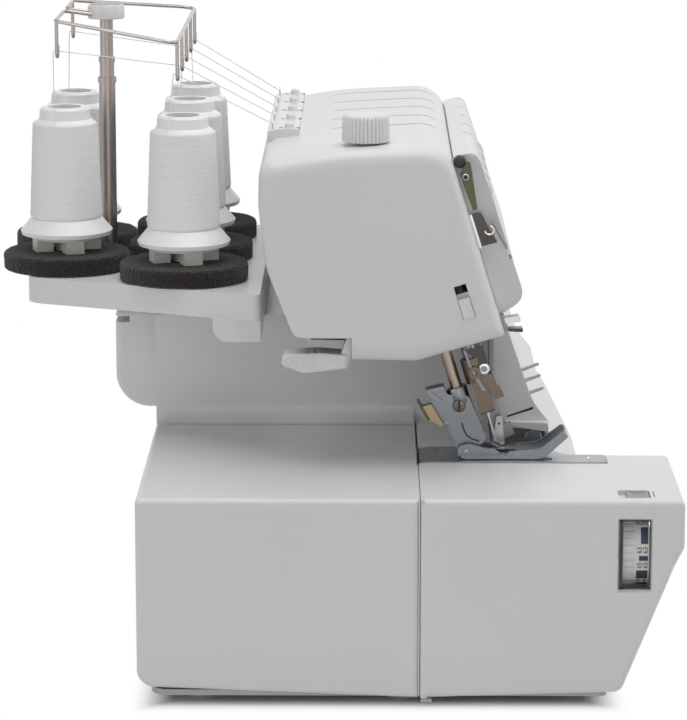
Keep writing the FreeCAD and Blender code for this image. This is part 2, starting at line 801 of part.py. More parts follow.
def motor():
    """The drive motor's can, with a stepped front boss and cooling slots."""
    can = rod(vec(motor_left, motor_y, motor_z), vec(1, 0, 0), motor_radius, motor_right - motor_left)
    can = soften(can, 4.0, lambda b: b.XMax < motor_left + 0.01)
    bore = rod(
        vec(motor_right - 21.0, motor_y, motor_z), vec(1, 0, 0), motor_shaft_radius + running_clearance,
        30.0)
    can = can.cut(bore)
    slots = []
    for turn in range(8):
        slot = box(
            motor_left + 12.0, motor_left + 46.0, motor_y - 2.0, motor_y + 2.0,
            motor_z + motor_radius - 3.0, motor_z + motor_radius + 3.0)
        slot.rotate(vec(motor_left, motor_y, motor_z), vec(1, 0, 0), 45.0 * turn)
        slots.append(slot)
    return can.cut(slots)


def belt_loop(offset):
    """The face inside a loop round both pulleys, offset outwards from their grooves."""
    large = shaft_pulley_radius + offset
    small = motor_pulley_radius + offset
    across = vec(0, motor_y - shaft_y, motor_z - shaft_z)
    apart = across.Length
    along = across * (1 / apart)
    side = vec(0, -along.z, along.y)
    turn = math.acos((large - small) / apart)
    here = vec(pulley_left + 1.0, shaft_y, shaft_z)
    there = vec(pulley_left + 1.0, motor_y, motor_z)
    upper = along * math.cos(turn) + side * math.sin(turn)
    lower = along * math.cos(turn) - side * math.sin(turn)
    edges = [
        Part.makeLine(here + upper * large, there + upper * small),
        Part.Arc(there + upper * small, there + along * small, there + lower * small).toShape(),
        Part.makeLine(there + lower * small, here + lower * large),
        Part.Arc(here + lower * large, here - along * large, here + upper * large).toShape(),
    ]
    return Part.Face(Part.Wire(edges))


def drive_belt():
    """The flat belt from the motor to the main shaft."""
    width = vec(pulley_width - 2.0, 0, 0)
    gap = 0.3
    return belt_loop(gap + belt_thickness).extrude(width).cut(belt_loop(gap).extrude(width))


def handwheel():
    """The handwheel, with a fluted rim and a dished face."""
    wheel = rod(vec(wheel_left, shaft_y, shaft_z), vec(1, 0, 0), wheel_radius, wheel_right - wheel_left)
    wheel = soften(wheel, 3.0, lambda b: b.XMin > wheel_right - 0.01)
    dish = rod(vec(wheel_right - 3.0, shaft_y, shaft_z), vec(1, 0, 0), wheel_radius - 9.0, 4.0)
    flutes = []
    count = 20
    for index in range(count):
        turn = 2 * math.pi * index / count
        reach = wheel_radius + 1.2
        place = vec(wheel_left + 5.0, shaft_y + reach * math.cos(turn), shaft_z + reach * math.sin(turn))
        flutes.append(rod(place, vec(1, 0, 0), 2.4, 20.0))
    bore = rod(vec(0, shaft_y, shaft_z), vec(1, 0, 0), shaft_radius, wheel_right - 4.0)
    return wheel.cut(flutes).cut(dish).cut(bore)


# Bars that lean with the head: each place is the foot of its axis
needle_foot = vec(95.0, -42.0, 114.6)
presser_foot_place = vec(95.0, -14.5, 165.0)
knife_place = vec(113.0, -45.0, 113.0)
needle_bar_radius = 3.6
presser_bar_radius = 3.15
knife_half = 1.6
knife_depth = 7.0


def lean_place(foot, along, out=0.0, side=0.0):
    """A place beside a leaning axis."""
    return foot + up_lean * along + out_front * out + vec(side, 0, 0)


def lean_box(foot, side0, side1, along0, along1, out0, out1):
    """A block beside a leaning axis."""
    corners = [(along0, out0), (along1, out0), (along1, out1), (along0, out1)]
    places = [lean_place(foot, a, o, side0) for a, o in corners]
    return Part.Face(Part.makePolygon(places + [places[0]])).extrude(vec(side1 - side0, 0, 0))


def needle_bar():
    """The needle bar, guided in the chassis boss."""
    bar = rod(lean_place(needle_foot, 30.0), up_lean, needle_bar_radius, 110.0)
    return soften(bar, 0.8, lambda b: b.ZMin > needle_foot.z + 100.0)


def needle_clamp():
    """The needle clamp: a block for two needles under a collar with a socket screw."""
    block = lean_box(needle_foot, -5.2, 5.2, 18.8, 38.0, -3.6, 4.4)
    block = soften(block, 1.0, lambda b: b.XLength < 0.01 and b.ZMax < needle_foot.z + 24.0)
    collar = rod(lean_place(needle_foot, 36.0), up_lean, 6.0, 13.0)
    head = rod(lean_place(needle_foot, 42.0, 0, -8.6), vec(1, 0, 0), 3.2, 4.0)
    socket = rod(lean_place(needle_foot, 42.0, 0, -9.0), vec(1, 0, 0), 1.5, 2.4)
    clamp = fuse([block, collar, head]).cut(socket)
    clamp = clamp.cut(rod(lean_place(needle_foot, 30.0), up_lean, needle_bar_radius, 110.0))
    return clamp.cut(needle_solids())


needle_spread = 2.2


def needle_solids():
    """Two needles side by side, the right one a little lower."""
    needles = []
    for side, lift in ((-needle_spread, 1.6), (needle_spread, 0.0)):
        point = Part.makeCone(0.12, 0.5, 5.0, lean_place(needle_foot, lift, 0, side), up_lean)
        blade = rod(lean_place(needle_foot, lift + 5.0, 0, side), up_lean, 0.5, 11.0)
        shank = rod(lean_place(needle_foot, lift + 16.0, 0, side), up_lean, 1.0, 11.0)
        needles.append(fuse([point, blade, shank]))
    return Part.makeCompound(needles)


def upper_knife():
    """The moving knife on its leaning bar."""
    bar = lean_box(knife_place, -knife_half, knife_half, 8.0, 142.0, -knife_depth / 2, knife_depth / 2)
    tip = [(0.0, -3.0), (8.5, -knife_depth / 2), (8.5, knife_depth / 2 + 4.0), (1.5, knife_depth / 2 + 4.0)]
    places = [lean_place(knife_place, a, o, -knife_half) for a, o in tip]
    blade = Part.Face(Part.makePolygon(places + [places[0]])).extrude(vec(knife_half, 0, 0))
    return fuse([bar, blade])


def presser_bar():
    """The presser bar, guided in the chassis boss."""
    bar = rod(lean_place(presser_foot_place, -30.0), up_lean, presser_bar_radius, 128.0)
    return soften(bar, 0.7, lambda b: b.ZMin > presser_foot_place.z + 80.0)


foot_pivot_y = -25.5
foot_pivot_z = 113.2
foot_pin_radius = 1.2
foot_left = 85.0
foot_right = 105.0


def presser_shank():
    """The steel shank under the presser bar, with its slotted screw and the foot's cross pin."""
    x = presser_foot_place.x
    hub = prism_x([
        (-1.0, 136.5, 1.0), (-1.0, 142.5, 1.0), (-8.0, 148.5, 3.0), (-18.5, 152.0, 2.0),
        (-24.0, 148.5, 2.0),
        (-28.6, 134.0, 3.0), (-24.0, 128.0, 3.0), (-13.5, 133.0, 6.0)], x - 5.0, x + 5.0)
    ankle = prism_x([
        (-14.0, 136.0, 0), (-27.4, 138.0, 0), (-31.0, 126.0, 5.0), (-28.6, 111.4, 2.4), (-22.4, 111.4, 2.4),
        (-19.5, 122.0, 6.0)], x - 3.0, x + 3.0)
    pin = rod(
        vec(foot_left + 1.0, foot_pivot_y, foot_pivot_z), vec(1, 0, 0), foot_pin_radius,
        foot_right - foot_left - 2.0)
    screw = rod(vec(x - 8.0, -22.0, 137.5), vec(1, 0, 0), 4.2, 4.0)
    slot = box(x - 8.5, x - 6.8, -26.5, -17.5, 137.0, 138.0)
    eye = rod(vec(x - 6.0, -7.0, 140.5), vec(1, 0, 0), 1.5, 20.0)
    shank = fuse([hub, ankle, pin, screw]).cut(slot).cut(eye)
    return shank.cut(rod(lean_place(presser_foot_place, -30.0), up_lean, presser_bar_radius, 128.0))


sole_bottom = plate_top + 0.4
sole_thickness = 2.0


def presser_foot():
    """The sole, with an upturned channelled toe, a needle slot and two ears on the cross pin."""
    top = sole_bottom + sole_thickness
    sole = prism_x([
        (-22.6, sole_bottom + 0.8, 0.4), (-24.5, sole_bottom, 0), (-66.0, sole_bottom, 10.0),
        (-79.0, 121.0, 0.6),
        (-77.6, 122.6, 0.6), (-66.0, top + 0.2, 9.0), (-22.6, top, 0.4)], foot_left, foot_right)
    ears = []
    for x0 in (foot_left + 1.6, foot_right - 4.4):
        ear = prism_x([
            (-21.0, top - 0.5, 0), (-46.0, top - 0.5, 0), (-40.0, 113.4, 4.0), (-27.0, 116.6, 3.0),
            (-21.4, 115.4, 2.4)],
            x0, x0 + 2.8)
        ears.append(ear)
    rims = []
    for x0 in (foot_left, foot_right - 1.6):
        rim = prism_x(
            [(-46.0, top - 0.5, 0), (-66.0, top - 0.5, 9.0), (-78.0, 121.6, 0.6), (-77.0, 124.4, 1.5),
            (-64.0, 114.4, 8.0), (-48.0, 113.0, 2.0)], x0, x0 + 1.6)
        rims.append(rim)
    foot = fuse([sole] + ears + rims)
    needle_slot = box(foot_left + 6.0, foot_right - 6.0, -52.0, -37.0, 100.0, 130.0)
    pin_way = rod(
        vec(foot_left - 5, foot_pivot_y, foot_pivot_z), vec(1, 0, 0),
        foot_pin_radius + running_clearance, 40.0)
    return foot.cut(needle_slot).cut(pin_way)


lever_pivot_y = 31.0
lever_pivot_z = 173.0
lever_left = 66.0
lever_right = 82.0
lever_pin_radius = 2.0


def presser_lever():
    """The presser lifter: a flat ribbed grip behind a cranked arm on its pivot."""
    grip = prism_x([
        (38.0, 161.0, 0), (60.0, 158.6, 6.0), (71.0, 163.2, 2.0), (70.0, 168.6, 2.0),
        (52.0, 169.6, 6.0), (38.0, 168.5, 0)],
        lever_left, lever_right)
    grip = soften(grip, 1.2, lambda b: b.XLength < 0.01 and b.YMin > 39.0)
    ribs = []
    for index in range(6):
        y = 45.0 + 4.0 * index
        ribs.append(rod(vec(lever_left - 1, y, 170.0), vec(1, 0, 0), 0.9, 20.0))
    arm = prism_x([
        (26.0, 171.5, 3.0), (34.7, 169.6, 0), (37.0, 161.2, 0), (40.0, 161.0, 0), (40.0, 168.5, 0),
        (37.0, 177.0, 3.0),
        (27.0, 180.0, 3.0)],
        lever_left + 2.0, lever_right - 2.0)
    lever = fuse([grip.cut(ribs), arm])
    return lever.cut(
        rod(vec(0, lever_pivot_y, lever_pivot_z), vec(1, 0, 0), lever_pin_radius + running_clearance,
        200.0))


def needle_plate():
    """The steel needle plate, with slots for the needles, feed dogs and upper looper."""
    bottom = plate_top - plate_thickness
    plate = prism_z([
        (plate_left, plate_rear, 3.0),
        (plate_left, plate_front, 2.0),
        (plate_front_right, plate_front, 2.0),
        (plate_front_right + 0.5, -78.0, 6.0),
        (plate_right, -66.0, 6.0),
        (plate_right, plate_rear, 9.0),
    ], bottom, plate_top)
    for x0, x1 in feed_rows:
        plate = plate.cut(
            box(x0 - 0.5, x1 + 0.5, feed_front - 2.5, feed_rear + 2.5, bottom - 1, plate_top + 1))
    plate = plate.cut(box(90.6, 99.4, -48.0, -37.5, bottom - 1, plate_top + 1))
    plate = plate.cut(box(looper_left - 1.0, looper_right + 1.0, -62.0, -30.0, bottom - 1, plate_top + 1))
    for x, y in plate_screw_places:
        plate = plate.cut(rod(vec(x, y, bottom - 1), vec(0, 0, 1), plate_screw_radius, 5.0))
        plate = plate.cut(Part.makeCone(2.0, plate_screw_radius + 2.0, 1.2, vec(x, y, plate_top - 1.2)))
    return plate


feed_rows = [(85.6, 88.4), (101.6, 104.4)]
feed_front = -68.0
feed_rear = -26.0
looper_left = 107.6
looper_right = 110.4
lower_looper_left = 94.6
feed_rail_left = 88.6
plate_screw_places = [(104.0, -10.0), (88.0, -90.0)]
plate_screw_radius = 2.0


def cover_screws():
    """The needle plate's two countersunk screws."""
    screws = []
    bottom = plate_top - plate_thickness
    for x, y in plate_screw_places:
        head = Part.makeCone(2.0, plate_screw_radius + 2.0, 1.2, vec(x, y, plate_top - 1.2))
        stem = rod(vec(x, y, bottom), vec(0, 0, 1), plate_screw_radius, plate_thickness - 0.4)
        slot = box(x - 5, x + 5, y - 0.5, y + 0.5, plate_top - 0.7, plate_top + 1)
        screws.append(fuse([head, stem]).cut(slot))
    return Part.makeCompound(screws)


def feed_dogs():
    """Two toothed feed rows on one carrier under the plate."""
    rows = []
    pitch = 1.75
    count = int((feed_rear - feed_front) / pitch)
    for x0, x1 in feed_rows:
        top = plate_top - 0.1
        outline = [vec(x0, feed_front, top - 5.0)]
        for index in range(count):
            y = feed_front + pitch * index
            outline.append(vec(x0, y, top - 1.0))
            outline.append(vec(x0, y + pitch * 0.75, top))
        outline.append(vec(x0, feed_front + pitch * count, top - 1.0))
        outline.append(vec(x0, feed_front + pitch * count, top - 5.0))
        outline.append(outline[0])
        rows.append(Part.Face(Part.makePolygon(outline)).extrude(vec(x1 - x0, 0, 0)))
    carrier = box(feed_rows[0][0], feed_rows[1][1], -52.0, -42.0, plate_top - 9.0, plate_top - 4.0)
    return fuse(rows + [carrier])


def upper_looper():
    """The upper looper: an arm on its pivot with a curved eyed tip through the needle plate."""
    arm = prism_x([
        (-38.0, 52.0, 5.0), (-22.0, 52.0, 5.0), (-30.0, 74.0, 30.0), (-39.0, 104.0, 20.0),
        (-42.0, 127.0, 0.8),
        (-45.0, 127.0, 0.8), (-47.0, 108.0, 20.0), (-40.0, 74.0, 30.0)], looper_left, looper_right)
    arm = arm.cut(
        rod(vec(0, upper_looper_pivot[0], upper_looper_pivot[1]), vec(1, 0, 0),
        looper_pivot_radius + running_clearance, 200.0))
    eye = rod(vec(0, -43.4, 123.0), vec(1, 0, 0), 0.7, 200.0)
    return arm.cut(eye)


upper_looper_pivot = (-30.0, 58.0)
lower_looper_pivot = (-54.0, 40.0)
looper_pivot_radius = 3.0


def lower_looper():
    """The lower looper: an arm on its pivot with a hooked tip under the needle plate."""
    arm = prism_x([
        (-62.0, 34.0, 5.0), (-46.0, 34.0, 5.0), (-50.0, 60.0, 20.0), (-50.0, 84.0, 6.0),
        (-36.0, 92.0, 0.6), (-37.0, 94.5, 0.6),
        (-56.0, 92.0, 8.0), (-58.0, 60.0, 20.0)], lower_looper_left, lower_looper_left + 3.0)
    return arm.cut(
        rod(vec(0, lower_looper_pivot[0], lower_looper_pivot[1]), vec(1, 0, 0),
        looper_pivot_radius + running_clearance, 200.0))


def lower_knife():
    """The fixed knife beside the needle plate, on its holder."""
    return prism_x(
        [(-66.0, 96.0, 0), (-34.0, 96.0, 0), (-34.0, plate_top - 0.2, 0), (-60.0, plate_top - 0.2, 2.0),
        (-66.0, 103.0, 0)], knife_place.x + 0.3 + 3.1, knife_place.x + 5.0)


# Front of the head: guides and take-up
take_up_along = 80.0
take_up_out = 4.0
take_up_pin_radius = 1.8


def thread_guides():
    """Steel thread guides: five pretension guides on the top, and the brackets by the take-up lever."""
    blank = head_blank()
    guides = []
    for x in dial_x:
        base = box(x - 5.5, x + 5.5, guide_y - 6.0, guide_y + 7.0, 262.0, 272.6)
        tab = prism_y(
            [(x - 4.5, 270.0, 0), (x + 4.5, 270.0, 0), (x + 4.5, 279.5, 3.0), (x - 4.5, 279.5, 3.0)],
            guide_y + 4.0, guide_y + 5.4)
        disc = rod(vec(x, guide_y - 2.0, 276.4), vec(0, 1, 0), 4.0, 6.5)
        eye = rod(vec(x, guide_y - 20, 276.4), vec(0, 1, 0), 1.0, 40.0)
        foot = box(x - 1.5, x + 1.5, guide_y - 2.0, guide_y + 4.5, 271.0, 274.0)
        guides.append(fuse([base, tab, disc, foot]).cut(eye).cut(blank))
    stud = rod(
        on_front(67.0, take_up_along, take_up_out), vec(1, 0, 0), take_up_pin_radius,
        panel_left - guard_thickness - 0.3 - 67.0)
    bracket = front_prism([
        (38.0, 0, 0), (58.0, 0, 0), (58.0, 4.0, 2.0), (52.0, 12.5, 2.0), (41.0, 12.5, 1.2),
        (41.0, 9.5, 1.2), (47.0, 9.5, 1.2),
        (50.0, 4.0, 1.2), (38.0, 3.0, 1.0)], 72.0, 79.0)
    strip = front_prism(
        [(24.0, 0, 0), (38.5, 0, 0), (38.5, 3.0, 0), (26.0, 11.0, 1.0), (24.0, 9.0, 1.0)], 74.0, 76.0)
    barrel = rod(on_front(69.0, 94.0, 3.6), vec(1, 0, 0), 3.2, panel_left - guard_thickness - 0.3 - 69.0)
    lower = front_prism(
        [(1.0, 0, 0), (8.0, 0, 0), (8.0, 2.0, 0), (6.0, 11.0, 1.0), (-2.0, 12.5, 1.0),
        (-2.0, 10.0, 1.0), (3.0, 9.0, 1.0)], 72.0, 80.0)
    brackets = [stud, fuse([bracket, strip]), barrel, lower]
    return Part.makeCompound(guides + [piece.cut(blank) for piece in brackets])


def take_up_lever():
    """The three-cornered take-up lever on its stud."""
    plate = front_prism([
        (63.0, 6.0, 1.5), (74.0, 1.8, 2.0), (85.5, 1.8, 3.0), (87.0, 8.0, 3.0), (78.0, 10.0, 4.0)],
        71.0, 73.0)
    screw = rod(on_front(69.4, take_up_along, take_up_out), vec(1, 0, 0), 3.0, 2.0)
    return fuse([plate, screw]).cut(
        rod(on_front(60.0, take_up_along, take_up_out), vec(1, 0, 0),
        take_up_pin_radius + running_clearance, 40.0))


def fluted_wheel(place, direction, radius, width, count, depth):
    """A wheel with flutes round its rim."""
    wheel = rod(place, direction, radius, width)
    across = direction.cross(vec(0.3, 0.5, 0.8)).normalize()
    other = direction.cross(across)
    flutes = []
    for index in range(count):
        turn = 2 * math.pi * index / count
        spoke = across * math.cos(turn) + other * math.sin(turn)
        flutes.append(rod(place + spoke * (radius + depth * 0.3) - direction, direction, depth, width + 2))
    return wheel.cut(flutes)


def tension_dial(x):
    """A thumb wheel in the front panel, with its axle."""
    centre = panel_depth - 1 - dial_sink
    wheel = fluted_wheel(
        on_front(x - dial_width / 2, dial_along, centre), vec(1, 0, 0), dial_radius, dial_width, 18, 0.9)
    axle = rod(on_front(x - 7.8, dial_along, centre), vec(1, 0, 0), dial_axle_radius, 15.6)
    return fuse([wheel, axle])


def pressure_knob():
    """The ribbed knob that sets the foot's pressure, on its screw."""
    grip = fluted_wheel(
        vec(knob_x, knob_y, knob_bottom), vec(0, 0, 1), knob_radius, knob_top - knob_bottom, 24, 0.9)
    stem = rod(
        vec(knob_x, knob_y, arm_top + 16.0), vec(0, 0, 1), knob_stem_radius, knob_bottom - arm_top - 16.0)
    screw = rod(vec(knob_x, knob_y, arm_top + 0.3), vec(0, 0, 1), 3.0, 16.0)
    return fuse([grip, stem, screw])


def selector_slider():
    """The selector: a tab in the head's left face with a keeper behind it."""
    low = selector_along[0]
    tab = front_box(
        head_left - 1.2, head_left + wall + 1.0, low + 0.3, low + 10.8, selector_out[0] + 0.3,
        selector_out[1] - 0.3)
    keeper = front_box(
        head_left + wall + 0.3, head_left + wall + 2.0, low - 2.0, low + 13.0, selector_out[0] - 2.0,
        selector_out[1] + 2.0)
    return fuse([tab, keeper])


def width_dial():
    """The cutting width dial behind the window, on a short axle."""
    y0, y1 = dial_window[0] + 0.5, dial_window[1] - 0.5
    middle = (y0 + y1) / 2
    ribbed = fluted_wheel(
        vec(width_dial_x, middle, width_dial_z), vec(0, 1, 0), width_dial_radius, y1 - middle, 40, 0.8)
    plain = rod(vec(width_dial_x, y0, width_dial_z), vec(0, 1, 0), width_dial_radius, middle - y0)
    axle = rod(
        vec(width_dial_x, y0, width_dial_z), vec(0, 1, 0), dial_axle_radius,
        dial_window[1] + 0.6 + wall - y0)
    return fuse([ribbed, plain, axle])


def cover_latch():
    """The finger latch in the recess of the cloth plate cover."""
    x0, x1, y0, _ = latch_recess
    floor = bed_top - latch_depth + 0.3
    button = box(x0 + 0.6, x1 - 0.6, y0 + 0.6, y0 + 0.6 + latch_button_length, floor, bed_top - 0.4)
    scoop = rod(vec(x0 - 1, y0 + 6.0, bed_top + 7.4), vec(1, 0, 0), 8.6, 20.0)
    return button.cut(scoop)


def stitch_length_dial():
    """The stitch length dial on the right end."""
    left = column_right + end_cover_thickness - 2.7
    grip = fluted_wheel(
        vec(left, length_dial_y, length_dial_z), vec(1, 0, 0), length_dial_radius, 9.5, 24, 1.0)
    stem = rod(vec(left - 5.0, length_dial_y, length_dial_z), vec(1, 0, 0), dial_stem_radius, 5.0)
    return fuse([grip, stem])


def power_switch():
    """The rocker of the power switch, on its two pins."""
    half_z = (switch_window_z[1] - switch_window_z[0]) / 2 - 1.3
    y0 = switch_window_y[0] + 0.4
    y1 = switch_window_y[1] - 0.4
    x = switch_pivot_x
    z = switch_pivot_z
    rocker = prism_y([
        (x - 3.0, z - half_z, 0.5), (x + 3.4, z - half_z, 1.0), (x + 2.2, z, 8.0),
        (x + 5.0, z + half_z, 1.0), (x - 3.0, z + half_z, 0.5)],
        y0, y1)
    pins = rod(
        vec(x, switch_window_y[0] - 1.8, z), vec(0, 1, 0), switch_pin_radius,
        switch_window_y[1] - switch_window_y[0] + 3.6)
    return fuse([rocker, pins])


def power_inlet():
    """The mains inlet: a socket with two contact pins, set in the right end."""
    y0, y1 = inlet_window_y
    z0, z1 = inlet_window_z
    left = column_right - 8.0
    right = column_right + end_cover_thickness
    body = box(left, right, y0, y1, z0, z1)
    cavity = prism_x([
        (y0 + 3.0, z0 + 4.0, 4.0), (y1 - 3.0, z0 + 4.0, 4.0), (y1 - 3.0, z1 - 4.0, 4.0),
        (y0 + 3.0, z1 - 4.0, 4.0)],
        left + 3.0, right + 1)
    pins = []
    for z in ((z0 + z1) / 2 - 4.3, (z0 + z1) / 2 + 4.3):
        pins.append(rod(vec(left + 2.0, (y0 + y1) / 2, z), vec(1, 0, 0), 1.2, 9.0))
    return fuse([body.cut(cavity)] + pins)


# Spools and antenna
pad_radius = 34.8
pad_thickness = 10.0
pad_top = tray_top + pad_thickness
holder_radius = 18.6
skirt_radius = 25.0
skirt_bottom = 213.0
cone_foot_radius = 18.4
cone_top_radius = 16.2
winding_bottom = 222.0
winding_top = 274.5
cone_neck_radius = 13.5
cone_top = 282.5
winding_turns = 12
thread_tube_radius = 0.7


def spool_pins():
    """Five pins that stand in the tray."""
    return Part.makeCompound([
        rod(vec(x, y, tray_top - 6.0), vec(0, 0, 1), spool_pin_radius,
        cone_top - 10.0 - tray_top) for x, y in spool_places])


def foam_pads():
    """Five round foam pads with a crowned rim, each round its spool pin."""
    pads = []
    for x, y in spool_places:
        pad = rod(vec(x, y, tray_top), vec(0, 0, 1), pad_radius, pad_thickness)
        pad = soften(pad, 2.5, lambda b: b.ZMin > pad_top - 0.01)
        pads.append(pad.cut(rod(vec(x, y, 0), vec(0, 0, 1), spool_pin_radius + 2.0, 400.0)))
    return Part.makeCompound(pads)


def cone_holders():
    """Five cone holders: four legs under a disc, with a tube on the spool pin."""
    holders = []
    for x, y in spool_places:
        disc = rod(vec(x, y, skirt_bottom - 2.4), vec(0, 0, 1), holder_radius, 2.4)
        tube = rod(vec(x, y, pad_top), vec(0, 0, 1), 6.0, 258.0 - pad_top)
        legs = []
        for turn in range(4):
            leg = box(x + 9.0, x + holder_radius - 0.6, y - 5.0, y + 5.0, pad_top, skirt_bottom - 2.0)
            leg.rotate(vec(x, y, 0), vec(0, 0, 1), 90.0 * turn + 20.0)
            legs.append(leg)
        holder = fuse([disc, tube] + legs)
        holders.append(
            holder.cut(rod(vec(x, y, 0), vec(0, 0, 1), spool_pin_radius + running_clearance, 400.0)))
    return Part.makeCompound(holders)


def cone_profile(x, y):
    """Half of the cone's section: skirt, wound body and neck."""
    outline = [
        (7.0, skirt_bottom), (skirt_radius - 0.6, skirt_bottom), (skirt_radius, skirt_bottom + 2.2),
        (skirt_radius - 2.2, skirt_bottom + 4.8), (cone_foot_radius + 0.9, winding_bottom),
        (cone_foot_radius, winding_bottom + 0.6), (cone_top_radius, winding_top),
        (cone_neck_radius + 0.6, winding_top + 1.6),
        (cone_neck_radius, cone_top - 1.2), (cone_neck_radius - 1.2, cone_top), (9.0, cone_top),
        (9.0, 262.0), (7.0, 258.5),
    ]
    places = [vec(x + radius, y, z) for radius, z in outline]
    return Part.Face(Part.makePolygon(places + [places[0]]))


def thread_cones():
    """Five thread cones: a flared skirt, the wound body's core and a neck."""
    return Part.makeCompound([
        cone_profile(x, y).revolve(vec(x, y, 0), vec(0, 0, 1), 360) for x, y in spool_places])


def winding_radius(height):
    """The middle of the thread's tube at a height on the cone."""
    share = (height - winding_bottom) / (winding_top - winding_bottom)
    core = cone_foot_radius + (cone_top_radius - cone_foot_radius) * share
    return core + thread_tube_radius + 0.12


def winding_height(turns):
    """The height reached after a number of turns."""
    low = winding_bottom + 2.5
    high = winding_top - 2.0
    return low + (high - low) * turns / winding_turns


def winding_point(turns):
    """A place on a winding about the origin, counted in turns from its foot."""
    height = winding_height(turns)
    radius = winding_radius(height)
    angle = 2 * math.pi * turns
    return vec(radius * math.cos(angle), radius * math.sin(angle), height)


def winding_tangent(turns):
    """The winding's direction at a place."""
    step = 0.0005
    return (winding_point(turns + step) - winding_point(turns - step)).normalize()


def arc_from(start, tangent, reach, end):
    """An arc that leaves start along tangent and ends at end, where reach is the side of its corner."""
    corner = start + tangent * reach
    chord_middle = (start + end) * 0.5
    cosine = (end - start).Length / (2 * reach)
    middle = chord_middle + (corner - chord_middle) * (cosine / (1 + cosine))
    return Part.Arc(start, middle, end).toShape()


def biarc(start, start_tangent, end, end_tangent):
    """Two arcs that touch each other and keep the direction at both ends."""
    chord = end - start
    both = start_tangent + end_tangent
    bend = 2 * (1 - start_tangent.dot(end_tangent))
    along = chord.dot(both)
    reach = (math.sqrt(along ** 2 + bend * chord.dot(chord)) - along) / bend
    joint = (start + end + (start_tangent - end_tangent) * reach) * 0.5
    first = arc_from(start, start_tangent, reach, joint)
    second = arc_from(joint, (end - end_tangent * reach - joint).normalize(), reach, end)
    return [first, second]


def winding_path():
    """One unbroken wire: a straight start, two arcs for each quarter turn and a straight end."""
    tail = 2 * thread_tube_radius
    last = winding_turns
    edges = [Part.makeLine(winding_point(0) - winding_tangent(0) * tail, winding_point(0))]
    for step in range(4 * winding_turns):
        here = step / 4
        there = (step + 1) / 4
        edges += biarc(winding_point(here), winding_tangent(here), winding_point(there),
        winding_tangent(there))
    edges.append(Part.makeLine(winding_point(last), winding_point(last) + winding_tangent(last) * tail))
    return Part.Wire(edges)


def winding_gap():
    """The least gap between neighbouring turns, measured on points."""
    steps = [index / 24 for index in range(24 * (winding_turns - 1) + 1)]
    gaps = []
    for here in steps:
        near = [winding_point(here + 1 + shift / 96) for shift in range(-8, 9)]
        near = [place for place in near if place.z <= winding_height(winding_turns)]
        gaps.append(min((place - winding_point(here)).Length for place in near) - 2 * thread_tube_radius)
    return min(gaps)


def thread_windings():
    """The outer turns of thread on each cone."""
    path = winding_path()
    start = path.Edges[0]
    section = Part.Wire(Part.makeCircle(
        thread_tube_radius, start.valueAt(start.FirstParameter), start.tangentAt(start.FirstParameter)))
    winding = path.makePipeShell([section], True, False)
    print("winding's least gap to itself", round(winding_gap(), 2))
    return Part.makeCompound([winding.translated(vec(x, y, 0)) for x, y in spool_places])


pole_middle_radius = 4.0
pole_top_radius = 3.6
pole_lower_top = 294.5
pole_middle_top = 305.5
cap_bottom = 327.0
cap_top = 335.0
cap_radius = 10.0
wire_radius = 1.0
guide_front_y = 127.0
guide_front_z = 322.5
guide_rear_y = 193.0
guide_rear_z = 331.5
guide_front_x = (128.0, 320.0)
guide_rear_x = (155.0, 268.0)
frame_bend_radius = 5.0
cap_wire_spread = 6.0
hook_inset = 7.0
hook_drop = 20.0
hook_width = 5.0
hook_lip = 6.0
hook_bend_radius = 2.2


def antenna_tube():
    """The antenna's lower tube, with a foot on the tray and a rolled rim."""
    tube = rod(
        vec(pole_x, pole_y, tray_top - 10.0), vec(0, 0, 1), pole_radius, pole_lower_top - tray_top + 10.0)
    rim = rod(vec(pole_x, pole_y, pole_lower_top - 3.0), vec(0, 0, 1), pole_radius + 0.6, 3.0)
    bore = rod(
        vec(pole_x, pole_y, tray_top - 9.0), vec(0, 0, 1), pole_middle_radius + running_clearance, 200.0)
    return fuse([tube, rim]).cut(bore)


def antenna_middle():
    """The antenna's middle tube."""
    tube = rod(vec(pole_x, pole_y, tray_top), vec(0, 0, 1), pole_middle_radius, pole_middle_top - tray_top)
    rim = rod(vec(pole_x, pole_y, pole_middle_top - 3.0), vec(0, 0, 1), pole_middle_radius + 0.5, 3.0)
    bore = rod(
        vec(pole_x, pole_y, tray_top - 1.0), vec(0, 0, 1), pole_top_radius + running_clearance, 200.0)
    return fuse([tube, rim]).cut(bore)


def antenna_top():
    """The antenna's inner rod with its cap."""
    bar = rod(
        vec(pole_x, pole_y, tray_top + 1.0), vec(0, 0, 1), pole_top_radius, cap_bottom + 1.0 - tray_top)
    cap = rod(vec(pole_x, pole_y, cap_bottom), vec(0, 0, 1), cap_radius, cap_top - cap_bottom)
    cap = soften(cap, 2.0, lambda b: b.ZMin > cap_top - 0.01)
    return fuse([bar, cap]).cut(wire_frame())


def bent_path(places, bend_radius):
    """One wire through places, straight runs joined by arcs that touch both runs."""
    edges = []
    start = places[0]
    for last, corner, following in zip(places, places[1:], places[2:]):
        to_last = (last - corner).normalize()
        to_next = (following - corner).normalize()
        half_angle = to_last.getAngle(to_next) / 2
        reach = bend_radius / math.tan(half_angle)
        inward = (to_last + to_next).normalize()
        middle = corner + inward * (bend_radius / math.sin(half_angle) - bend_radius)
        edges.append(Part.makeLine(start, corner + to_last * reach))
        edges.append(Part.Arc(corner + to_last * reach, middle, corner + to_next * reach).toShape())
        start = corner + to_next * reach
    edges.append(Part.makeLine(start, places[-1]))
    return Part.Wire(edges)


def bent_tube(places, radius, bend_radius):
    """A round wire or thread along a bent path."""
    path = bent_path(places, bend_radius)
    section = Part.Wire(Part.makeCircle(radius, places[0], places[1] - places[0]))
    return path.makePipeShell([section], True, False)


